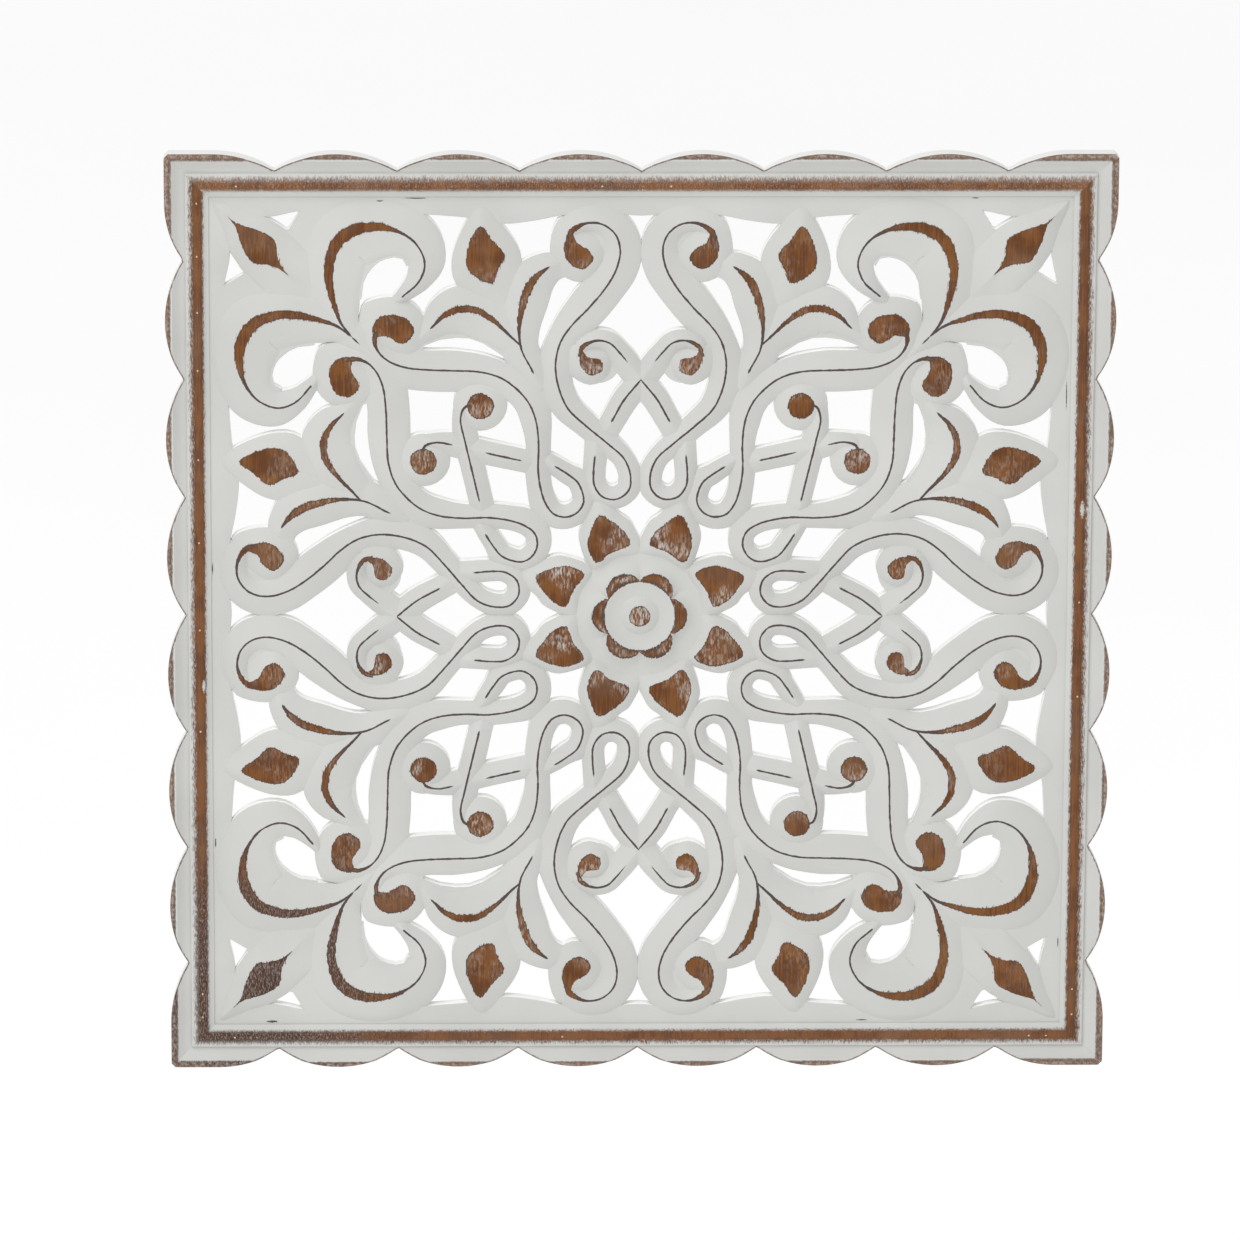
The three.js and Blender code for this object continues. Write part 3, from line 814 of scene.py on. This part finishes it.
@dataclass
class Moulding:
    """One side of the frame: scalloped rim, cove, step and bead, mitred at both ends."""

    side: Side
    material: bpy.types.Material
    scallop_depth: float = 11.5
    corner_run: float = 30.5
    corner_radius: float = 3.0
    step: float = 2.4
    rim_width: float = 4.5
    rim_rise: float = 4.5
    bare_width: float = 3.3
    cove_end: float = 12.8
    cove_rise: float = 0.3

    # Face from the cove inwards: distance from the edge, rise above the board, sanded value
    FACE = (
        (13.0, 1.6, 0.9), (13.5, 2.3, 1.3), (14.2, 2.6, 1.9), (15.4, 2.75, 2.5), (16.8, 2.95, 3.1),
        (17.6, 3.4, 3.4), (18.3, 4.2, 3.8), (19.0, 4.9, 4.3), (19.9, 5.42, 4.8), (21.0, 5.6, 4.9),
        (22.1, 5.42, 4.5), (22.9, 4.95, 4.0), (23.6, 4.3, 3.35), (24.3, 3.5, 2.7), (25.0, 2.7, 1.9),
        (25.8, 1.95, 1.1), (26.7, 1.35, 0.2), (27.7, 1.0, 0.0),
    )

    def _outer(self, x: float) -> float:
        """Find how far out the scalloped edge is.

        Args:
            x: Place along the side, from its middle.

        Returns:
            Height of the edge above the panel's middle.
        """
        along = abs(x)
        pitch = (PANEL_HALF - self.corner_run) / 3.5
        middle = min(math.floor(along / pitch), 3) * pitch + pitch / 2
        reach = pitch / 2
        radius = (reach**2 + self.scallop_depth**2) / (2 * self.scallop_depth)
        if along > middle and middle > 3 * pitch:
            middle = PANEL_HALF - self.corner_radius
            past = max(0.0, along - middle)
            return middle + math.sqrt(max(0.0, self.corner_radius**2 - past**2))
        return PANEL_HALF - radius + math.sqrt(radius**2 - (along - middle) ** 2)

    def _cove(self, inwards: float) -> float:
        """Find the level of the rim and the cove.

        Args:
            inwards: Distance in from the straight outer edge.

        Returns:
            Level above the wall.
        """
        if inwards <= self.rim_width:
            return BOARD_LEVEL + self.rim_rise
        left = (self.cove_end - inwards) / (self.cove_end - self.rim_width)
        return BOARD_LEVEL + self.cove_rise + (self.rim_rise - self.cove_rise) * max(0.0, left) ** 1.7

    def _section(self, x: float) -> Ring:
        """Make the ring across the moulding.

        Args:
            x: Place along the side, from its middle.

        Returns:
            The ring, from the back round the outer edge and over the face.
        """
        start = PANEL_HALF - self._outer(x)
        edge_level = self._cove(start + 0.3)
        seat = FRAME_WIDTH - BOARD_TUCK - JOINT_GAP
        under = BOARD_LEVEL + JOINT_GAP
        corner_lobe = abs(x) > (PANEL_HALF - self.corner_run) * 6 / 7
        bare_end = max(self.bare_width + (1.0 if corner_lobe else 0.0), start + 0.7)
        steps = [start + 0.35, (start + bare_end) / 2, bare_end, max(self.rim_width, bare_end + 0.8)]
        left = self.cove_end - steps[-1]
        steps += [steps[-1] + left * share for share in (0.12, 0.3, 0.52, 0.76, 1.0)]
        profile = [
            (seat, 0.0, 0.0), (start, 0.0, 0.0), (start, edge_level - 0.9, 1.6),
            (start, edge_level - 0.35, WORN_EDGE),
        ]
        for inwards in steps:
            within = bare_end - inwards
            worn = WORN_EDGE + min(1.2, within * (0.8 if within > 0 else 1.7))
            profile.append((inwards, self._cove(inwards), max(0.0, worn)))
        outside = len(profile)
        loose = 1.0 if self.side is Side.TOP else 0.75
        for inwards, rise, worn in self.FACE:
            rubbed = 0.7 if self.side is Side.TOP and inwards > 22.0 else 0.0
            profile.append((inwards, BOARD_LEVEL + rise, max(0.0, worn - rubbed)))
        profile += [(FRAME_WIDTH, BOARD_LEVEL, 0.0), (FRAME_WIDTH - 1, under, 0.0), (seat, under, 0.0)]
        # Spots 1 and 2 run up the rim's outer side, which is marked for the painted highlight
        return [
            Spot(
                at(x, PANEL_HALF - inwards, level), worn, 0.3,
                0.55 if index < outside else loose, 1.0 if index in (1, 2) else 0.0,
            )
            for index, (inwards, level, worn) in enumerate(profile)
        ]

    def build(self) -> bpy.types.Object:
        """Make this side and let it stand for its CAD node.

        Returns:
            The finished piece.
        """
        name = f"{self.side.name.lower()}_moulding"
        steps = round(2 * PANEL_HALF / self.step)
        places = [-PANEL_HALF + 2 * PANEL_HALF * index / steps for index in range(steps + 1)]
        mesh = loft(name, [self._section(x) for x in places])
        shaper = bmesh.new()
        shaper.from_mesh(mesh)
        for sign in (-1, 1):
            bmesh.ops.bisect_plane(
                shaper,
                geom=[*shaper.verts, *shaper.edges, *shaper.faces],
                plane_co=(0, 0, JOINT_GAP * MM * 0.05),
                plane_no=(sign, 0, -1),
                clear_outer=True,
            )
            cut = [edge for edge in shaper.edges if edge.is_boundary]
            bmesh.ops.holes_fill(shaper, edges=cut, sides=0)
        bmesh.ops.recalc_face_normals(shaper, faces=shaper.faces)
        shaper.to_mesh(mesh)
        shaper.free()
        mesh.transform(Matrix.Rotation(-math.pi / 2 * self.side.value, 4, "Y"))
        piece = finished_piece(name, mesh, self.material)
        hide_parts(f"{self.side.name.lower()}_rail")
        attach(piece, "root")
        return piece


@dataclass
class BradHeads:
    """Small worn brad heads, nearly flush with the bead, that hold the moulding to the board."""

    material: bpy.types.Material
    radius: float = 0.95
    line: float = 279.4
    crown_level: float = BOARD_LEVEL + 5.58
    foot_level: float = BOARD_LEVEL + 4.9
    along: dict[Side, tuple[float, ...]] = field(default_factory=lambda: {
        Side.TOP: (-254.7, -24.9, 18.5),
        Side.LEFT: (268.7, 234.6, 198.5, 160.9, 103.0, 48.8, -8.4, -75.2, -250.3, -265.9),
        Side.BOTTOM: (259.2, 48.5, -252.3, -263.3),
        Side.RIGHT: (-9.1, 53.1, 248.4, 265.3),
    })

    def _head(self, x: float) -> Mesh:
        """Make one low dome on the top side's bead.

        Args:
            x: Place along the side.

        Returns:
            The closed mesh.
        """
        rise = self.crown_level - self.foot_level
        rings = []
        for share, lift in ((1.0, 0.0), (1.0, 0.55), (0.8, 0.86), (0.45, 1.0)):
            outline = circle((x, self.line), self.radius * share, 10)
            rings.append([Spot(at(px, pz, self.foot_level + rise * lift)) for px, pz in outline])
        return loft("brad_head", rings)

    def build(self) -> bpy.types.Object:
        """Make all the heads as one piece.

        Returns:
            The finished piece.
        """
        joined = bmesh.new()
        for side, places in self.along.items():
            for x in places:
                head = self._head(x)
                head.transform(Matrix.Rotation(-math.pi / 2 * side.value, 4, "Y"))
                joined.from_mesh(head)
                bpy.data.meshes.remove(head)
        piece = finished_piece("brad_heads", settled("brad_heads", joined), self.material)
        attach(piece, "root")
        return piece


@dataclass
class Sheet:
    """Adds shader nodes to one tree and links them as they are made."""

    tree: bpy.types.NodeTree

    def add(self, kind: str, inputs: dict | None = None, **settings: object) -> bpy.types.Node:
        """Add a node.

        Args:
            kind: Its type.
            inputs: A value or a socket for each input named by its key.
            settings: Properties to set on it.

        Returns:
            The node.
        """
        node = self.tree.nodes.new(kind)
        for name, value in settings.items():
            setattr(node, name, value)
        for key, value in (inputs or {}).items():
            self.feed(node.inputs[key], value)
        return node

    def feed(self, socket: Socket, value: object) -> None:
        """Give a socket a value, or link another socket to it.

        Args:
            socket: Input to feed.
            value: Plain value, or the output to link.
        """
        if isinstance(value, Socket):
            self.tree.links.new(value, socket)
        else:
            socket.default_value = value

    def sum(self, operation: str, *values: object) -> Socket:
        """Result of a Math node."""
        return self.add("ShaderNodeMath", dict(enumerate(values)), operation=operation).outputs[0]

    def plus(self, first: object, second: object) -> Socket:
        """Two values added."""
        return self.sum("ADD", first, second)

    def less(self, first: object, second: object) -> Socket:
        """The second value taken from the first."""
        return self.sum("SUBTRACT", first, second)

    def times(self, first: object, second: object) -> Socket:
        """Two values multiplied."""
        return self.sum("MULTIPLY", first, second)

    def most(self, first: object, second: object) -> Socket:
        """The larger of two values."""
        return self.sum("MAXIMUM", first, second)

    def noise(
        self, vector: Socket, scale: float, detail: float = 2.0, shift: tuple = (0, 0, 0)
    ) -> Socket:
        """Add noise.

        Args:
            vector: Coordinates that it follows.
            scale: How fine it is.
            detail: Its octaves.
            shift: What is added to the coordinates.

        Returns:
            Values from about -0.5 to 0.5.
        """
        if any(shift):
            vector = self.add("ShaderNodeVectorMath", {0: vector, 1: shift}, operation="ADD").outputs[0]
        inputs = {"Vector": vector, "Scale": scale, "Detail": detail}
        node = self.add("ShaderNodeTexNoise", inputs, noise_dimensions="3D")
        return self.less(node.outputs["Fac"], 0.5)

    def stretched(
        self, vector: Socket, by: tuple[float, float, float], shift: tuple = (0, 0, 0)
    ) -> Socket:
        """Shift coordinates, then stretch them.

        Args:
            vector: Coordinates.
            by: What each axis is multiplied by.
            shift: What is added first.

        Returns:
            The new coordinates.
        """
        moved = self.add("ShaderNodeVectorMath", {0: vector, 1: shift}, operation="ADD").outputs[0]
        return self.add("ShaderNodeVectorMath", {0: moved, 1: by}, operation="MULTIPLY").outputs[0]

    def ramp(self, value: Socket, low: float, high: float) -> Socket:
        """Step from 0 to 1, smooth between.

        Args:
            value: Value to judge.
            low: Where the step starts.
            high: Where it ends.

        Returns:
            The step.
        """
        inputs = {"Value": value, "From Min": low, "From Max": high}
        return self.add("ShaderNodeMapRange", inputs, interpolation_type="SMOOTHSTEP").outputs["Result"]

    def near(self, vector: Socket, spot: Point, reach: Point, soft: float) -> object:
        """Mark the inside of an ellipse on the face.

        Args:
            vector: Coordinates.
            spot: Middle of the ellipse, in millimetres.
            reach: Its reach along x and z, in millimetres.
            soft: Share of the reach in which it fades.

        Returns:
            1 inside the ellipse, 0 beyond it.
        """
        by = (1 / (reach[0] * MM), 0.0, 1 / (reach[1] * MM))
        away = self.stretched(vector, by, (-spot[0] * MM, 0.0, -spot[1] * MM))
        distance = self.add("ShaderNodeVectorMath", {0: away}, operation="LENGTH").outputs["Value"]
        ragged = self.plus(distance, self.times(self.noise(vector, 900, 2), 1.6))
        return self.less(1.0, self.ramp(ragged, 1 - soft, 1 + soft * 0.3))

    def any_near(self, vector: Socket, spots: tuple, soft: float) -> object:
        """Mark the insides of several ellipses.

        Args:
            vector: Coordinates.
            spots: Middle and reach of each ellipse, as x, z, reach along x, reach along z.
            soft: Share of the reach in which they fade.

        Returns:
            1 inside any of them, 0 elsewhere.
        """
        found = 0.0
        for x, z, wide, tall in spots:
            found = self.most(found, self.near(vector, (x, z), (wide, tall), soft))
        return found

    def mix(self, share: object, first: object, second: object) -> Socket:
        """Mix two colours.

        Args:
            share: Share of the second one.
            first: First colour.
            second: Second colour.

        Returns:
            The mixed colour.
        """
        node = self.add("ShaderNodeMix", data_type="RGBA")
        colours = [socket for socket in node.inputs if socket.type == "RGBA"]
        self.feed(node.inputs[0], share)
        self.feed(colours[0], first)
        self.feed(colours[1], second)
        return next(socket for socket in node.outputs if socket.type == "RGBA")


def new_finish(name: str) -> tuple[bpy.types.Material, Sheet, bpy.types.Node, Socket]:
    """Start a material.

    Args:
        name: Its name.

    Returns:
        The material, the sheet that adds its nodes, its shader and its Object coordinates.
    """
    material = bpy.data.materials.new(name)
    material.use_nodes = True
    sheet = Sheet(material.node_tree)
    shader = next(node for node in material.node_tree.nodes if node.type == "BSDF_PRINCIPLED")
    return material, sheet, shader, sheet.add("ShaderNodeTexCoord").outputs["Object"]


def srgb(red: int, green: int, blue: int) -> tuple[float, float, float, float]:
    """Turn a colour's eight-bit values into the linear ones that a shader takes.

    Args:
        red: Red, 0 to 255.
        green: Green, 0 to 255.
        blue: Blue, 0 to 255.

    Returns:
        Linear red, green and blue with full opacity.
    """
    parts = [value / 255 for value in (red, green, blue)]
    linear = [part / 12.92 if part <= 0.04045 else ((part + 0.055) / 1.055) ** 2.4 for part in parts]
    return (*linear, 1.0)


@dataclass(frozen=True)
class LimeWash:
    """Lime wash over a dark undercoat, sanded through to brown wood along the raised tops."""

    name: str
    ragged: float = 1.0
    residue: float = 1.0
    scratches: tuple = ()
    chips: tuple = ()
    stained_corner: tuple = (-246.0, -246.0, 96.0, 96.0)
    paint: tuple = srgb(203, 203, 200)
    paint_shade: tuple = srgb(197, 197, 194)
    # Near white for the sides of the holes and the frame's outer side: a painted highlight standing in for
    # the light those sides catch from above
    bright: tuple = srgb(246, 246, 244)
    undercoat: tuple = srgb(78, 69, 64)
    wood: tuple = srgb(120, 75, 35)
    wood_deep: tuple = srgb(95, 56, 27)
    wood_grey: tuple = srgb(126, 104, 88)
    pale: tuple = srgb(198, 190, 182)
    stain: tuple = srgb(58, 40, 36)

    def build(self) -> bpy.types.Material:
        """The material.

        Returns:
            A material that reads the wear and the painted-highlight mark kept on the vertices of the mesh.
        """
        material, sheet, shader, place = new_finish(self.name)
        values = {
            name.capitalize(): sheet.add("ShaderNodeAttribute", attribute_name=name).outputs["Fac"]
            for name in Spot._fields[1:]
        }
        radius = sheet.add("ShaderNodeVectorMath", {0: place}, operation="LENGTH").outputs["Value"]
        outwards = sheet.times(sheet.ramp(radius, 0.1, 0.3), 0.92)
        values |= {
            "Place": place, "Ragged": self.ragged,
            "Residue": sheet.times(self.residue, sheet.less(1.0, outwards)),
            "Scratched": sheet.any_near(place, self.scratches, 0.5),
            "Chipped": sheet.any_near(place, self.chips, 0.5),
            "Stained": sheet.any_near(place, (self.stained_corner,), 0.6),
            "Paint": self.paint, "Paint Shade": self.paint_shade, "Undercoat": self.undercoat,
            "Wood": self.wood, "Wood Deep": self.wood_deep, "Wood Grey": self.wood_grey,
            "Pale": self.pale, "Stain": self.stain, "Bright": self.bright,
        }
        wear = sheet.add("ShaderNodeGroup", node_tree=worn_paint())
        for key, value in values.items():
            sheet.feed(wear.inputs[key], value)
        sheet.feed(shader.inputs["Base Color"], wear.outputs["Color"])
        sheet.feed(shader.inputs["Roughness"], wear.outputs["Roughness"])
        shader.inputs["Specular IOR Level"].default_value = 0.25
        relief = {"Strength": 0.6, "Distance": 0.0004, "Height": wear.outputs["Height"]}
        bump = sheet.add("ShaderNodeBump", relief)
        sheet.feed(shader.inputs["Normal"], bump.outputs["Normal"])
        return material


@dataclass(frozen=True)
class BradMetal:
    """Dull worn brads, a little paint left on them."""

    name: str = "worn_brads"
    metal: tuple = srgb(196, 160, 122)
    paint: tuple = srgb(214, 206, 196)

    def build(self) -> bpy.types.Material:
        """The material.

        Returns:
            A material with specks of paint on dull metal.
        """
        material, sheet, shader, place = new_finish(self.name)
        specks = sheet.ramp(sheet.noise(place, 1500, 2), -0.05, 0.1)
        sheet.feed(shader.inputs["Base Color"], sheet.mix(specks, self.metal, self.paint))
        sheet.feed(shader.inputs["Roughness"], sheet.plus(0.45, sheet.times(specks, 0.2)))
        shader.inputs["Metallic"].default_value = 0.2
        return material


def worn_paint() -> bpy.types.NodeTree:
    """Node group that lays the paint, the dark line round each sanded top, the bare wood, and a painted
    highlight of near white on the sides below the board's face and on the frame's outer side.

    Returns:
        The group, built on the first call.
    """
    existing = bpy.data.node_groups.get("worn_paint")
    if existing:
        return existing
    group = bpy.data.node_groups.new("worn_paint", "ShaderNodeTree")
    face = group.interface
    face.new_socket("Place", in_out="INPUT", socket_type="NodeSocketVector")
    for name in ("Sanded", "Broad", "Speckled", "Upright", "Ragged", "Residue", "Scratched", "Chipped",
                 "Stained"):
        face.new_socket(name, in_out="INPUT", socket_type="NodeSocketFloat")
    for name in ("Paint", "Paint Shade", "Bright", "Undercoat", "Wood", "Wood Deep", "Wood Grey", "Pale",
                 "Stain"):
        face.new_socket(name, in_out="INPUT", socket_type="NodeSocketColor")
    face.new_socket("Color", in_out="OUTPUT", socket_type="NodeSocketColor")
    for name in ("Roughness", "Height"):
        face.new_socket(name, in_out="OUTPUT", socket_type="NodeSocketFloat")
    sheet = Sheet(group)
    given = sheet.add("NodeGroupInput").outputs
    place = given["Place"]
    edge = sheet.less(given["Sanded"], WORN_EDGE)
    speckled = given["Speckled"]

    # Raggedness in millimetres: soft waves, fine tooth, upright strokes of the sander, and grit
    waves = sheet.times(sheet.noise(place, 240, 2), 1.4)
    tooth = sheet.times(sheet.noise(place, 1300, 2), 0.9)
    strokes = sheet.noise(sheet.stretched(place, (1500, 300, 190)), 1.0, 2)
    strokes = sheet.times(strokes, sheet.times(given["Broad"], 2.4))
    steady = sheet.plus(0.55, sheet.times(given["Broad"], 0.45))
    rough = sheet.times(sheet.plus(waves, tooth), steady)
    rough = sheet.plus(rough, strokes)
    rough = sheet.times(rough, given["Ragged"])
    grit = sheet.noise(sheet.stretched(place, (2100, 900, 420), (3.1, 0.7, 1.9)), 1.0, 3)
    loose = sheet.times(sheet.times(grit, 5.0), speckled)
    ragged_edge = sheet.plus(edge, sheet.plus(rough, loose))
    bare = sheet.ramp(ragged_edge, sheet.less(-0.42, speckled), sheet.plus(-0.18, speckled))
    bare = sheet.times(bare, sheet.less(1.0, given["Chipped"]))

    # Wood shows further in than the undercoat; on a thin ridge the undercoat is all there is
    patches = sheet.times(sheet.noise(place, 36, 1), 1.2)
    deeper = sheet.plus(sheet.plus(edge, patches), sheet.times(rough, 0.8))
    start = sheet.less(0.8, sheet.times(given["Broad"], 0.7))
    wood = sheet.ramp(deeper, start, sheet.plus(start, 0.6))
    wood = sheet.most(wood, speckled)

    # Paint left in the pores, in upright streaks on the broad tops
    streaks = sheet.noise(sheet.stretched(place, (1000, 500, 300), (1.3, 2.7, 0.4)), 1.0, 3)
    clouds = sheet.ramp(sheet.noise(place, 48, 2, (0.4, 0.1, 0.9)), -0.1, 0.14)
    left = sheet.times(sheet.ramp(streaks, -0.1, 0.22), clouds)
    left = sheet.times(left, sheet.times(given["Residue"], given["Broad"]))
    specks = sheet.ramp(grit, 0.0, 0.14)
    away = sheet.sum("ABSOLUTE", sheet.less(speckled, 0.55))
    rim = sheet.less(1.0, sheet.ramp(away, 0.03, 0.12))
    dusty = sheet.ramp(sheet.noise(place, 380, 3, (0.7, 0.2, 0.5)), -0.05, 0.14)
    dusty = sheet.times(sheet.most(specks, dusty), sheet.times(rim, 0.45))
    left = sheet.most(left, dusty)
    gritty = sheet.times(sheet.ramp(speckled, 0.85, 0.98), 0.25)
    left = sheet.most(left, sheet.times(specks, gritty))
    corner_dust = sheet.times(given["Stained"], 0.4)
    left = sheet.most(left, sheet.times(specks, corner_dust))

    grain = sheet.noise(sheet.stretched(place, (1100, 500, 60), (0.2, 1.1, 3.3)), 1.0, 3)
    tone = sheet.plus(sheet.noise(place, 70, 2), grain)
    brown = sheet.mix(sheet.ramp(tone, -0.16, 0.18), given["Wood"], given["Wood Deep"])
    greyed = sheet.ramp(sheet.noise(place, 26, 2, (0.9, 0.3, 0.2)), 0.0, 0.14)
    brown = sheet.mix(sheet.times(greyed, 0.18), brown, given["Wood Grey"])
    brown = sheet.mix(sheet.times(rim, 0.55), brown, given["Wood Grey"])
    brown = sheet.mix(sheet.times(given["Stained"], 0.8), brown, given["Stain"])
    brown = sheet.mix(left, brown, given["Pale"])
    dark = sheet.mix(sheet.times(given["Broad"], 0.4), given["Undercoat"], given["Wood Deep"])
    uneven = sheet.ramp(sheet.noise(place, 14, 3), -0.2, 0.2)
    wash = sheet.mix(uneven, given["Paint"], given["Paint Shade"])
    # Painted highlight: below the board's face, on the sides of the holes, and on the frame's outer side,
    # the wash turns near white in place of the light they catch from above
    depth = sheet.add("ShaderNodeSeparateXYZ", {0: place}).outputs["Y"]
    side = sheet.ramp(depth, -8.8 * MM, -7.9 * MM)
    wash = sheet.mix(sheet.most(side, given["Upright"]), wash, given["Bright"])
    wash = sheet.mix(given["Scratched"], wash, given["Undercoat"])
    colour = sheet.mix(bare, wash, sheet.mix(wood, dark, brown))

    roughness = sheet.plus(0.56, sheet.times(bare, 0.12))
    brushed = sheet.times(sheet.noise(place, 520, 3), 0.35)
    pores = sheet.times(sheet.times(sheet.plus(grit, grain), bare), 0.4)
    height = sheet.less(sheet.plus(brushed, pores), sheet.times(bare, 0.4))
    out = sheet.add("NodeGroupOutput")
    sheet.feed(out.inputs["Color"], colour)
    sheet.feed(out.inputs["Roughness"], roughness)
    sheet.feed(out.inputs["Height"], height)
    return group


@dataclass
class Studio:
    """Plain pale floor, soft light, and a camera at the photograph's angle."""

    pitch: float = 14.9
    yaw: float = -1.33
    roll: float = -0.09
    aim: tuple[float, float, float] = (0.01255, -0.0019, 5.592)
    front: float = 0.0146
    lens: float = 255.3
    floor_drop: float = 1.6

    def _camera(self) -> None:
        """Camera that sees the panel as the photograph does."""
        turn = (
            Matrix.Rotation(math.radians(self.roll), 3, "Z")
            @ Matrix.Rotation(math.radians(self.yaw), 3, "Y")
            @ Matrix.Rotation(math.radians(self.pitch), 3, "X")
        )
        eye = -(turn.transposed() @ Vector(self.aim))
        right, down, away = (Vector((row[0], row[2], -row[1])) for row in turn)
        spot = Vector((eye.x, eye.z - self.front, -eye.y))
        axes = Matrix((right, -down, -away)).transposed().to_4x4()
        data = bpy.data.cameras.new("camera")
        data.lens = self.lens
        data.sensor_width = 36.0
        data.clip_end = 200.0
        camera = bpy.data.objects.new("camera", data)
        camera.matrix_world = Matrix.Translation(spot) @ axes
        bpy.context.scene.collection.objects.link(camera)
        bpy.context.scene.camera = camera

    def _light(self, name: str, spot: Vector, size: float, power: float) -> None:
        """Add a soft square light that faces the middle of the panel.

        Args:
            name: Name of the light.
            spot: Where it is, in metres.
            size: Its width, in metres.
            power: Its power, in watts.
        """
        data = bpy.data.lights.new(name, "AREA")
        data.shape = "SQUARE"
        data.size = size
        data.energy = power
        light = bpy.data.objects.new(name, data)
        light.matrix_world = Matrix.Translation(spot) @ spot.to_track_quat("Z", "Y").to_matrix().to_4x4()
        bpy.context.scene.collection.objects.link(light)

    def _floor(self) -> None:
        """Wide pale floor well below the hanging panel."""
        shaper = bmesh.new()
        bmesh.ops.create_grid(shaper, x_segments=1, y_segments=1, size=40.0)
        bmesh.ops.translate(shaper, verts=shaper.verts, vec=(0, 0, -PANEL_HALF * MM - self.floor_drop))
        mesh = settled("floor", shaper)
        material, sheet, shader, place = new_finish("pale_floor")
        shader.inputs["Roughness"].default_value = 0.9
        tone = sheet.ramp(sheet.noise(place, 0.6, 2), -0.3, 0.3)
        greys = ((0.93, 0.93, 0.93, 1), (0.9, 0.9, 0.9, 1))
        sheet.feed(shader.inputs["Base Color"], sheet.mix(tone, *greys))
        shader.inputs["Emission Color"].default_value = (1, 1, 1, 1)
        shader.inputs["Emission Strength"].default_value = 0.43
        mesh.materials.append(material)
        floor = bpy.data.objects.new("floor", mesh)
        bpy.context.scene.collection.objects.link(floor)

    def build(self) -> None:
        """Make the camera, the light and the floor."""
        scene = bpy.context.scene
        scene.view_settings.view_transform = "Standard"
        world = scene.world or bpy.data.worlds.new("studio")
        scene.world = world
        world.use_nodes = True
        background = next(node for node in world.node_tree.nodes if node.type == "BACKGROUND")
        background.inputs["Color"].default_value = (1.0, 1.0, 1.0, 1.0)
        background.inputs["Strength"].default_value = 0.55
        self._camera()
        self._light("overhead", Vector((-1.6, -3.7, 4.6)), 4.2, 200.0)
        self._floor()


def main() -> None:
    """Build the panel, its frame and the studio, and report each piece."""
    logging.basicConfig(level=logging.INFO, format="%(name)s: %(message)s")
    Studio().build()
    board_finish = LimeWash("limewashed_board", scratches=BORDER_SCRATCHES).build()
    board = CarvedPanel(board_finish).build()
    log.info("%s: %d faces", board.name, len(board.data.polygons))
    trim = LimeWash(
        "limewashed_moulding",
        residue=0.3,
        chips=BEAD_CHIPS,
        wood=srgb(123, 80, 46),
        wood_deep=srgb(100, 62, 37),
    ).build()
    for side in Side:
        rail = Moulding(side, trim).build()
        log.info("%s: %d faces", rail.name, len(rail.data.polygons))
    brads = BradHeads(BradMetal().build()).build()
    log.info("%s: %d faces", brads.name, len(brads.data.polygons))


if __name__ == "__main__":
    main()
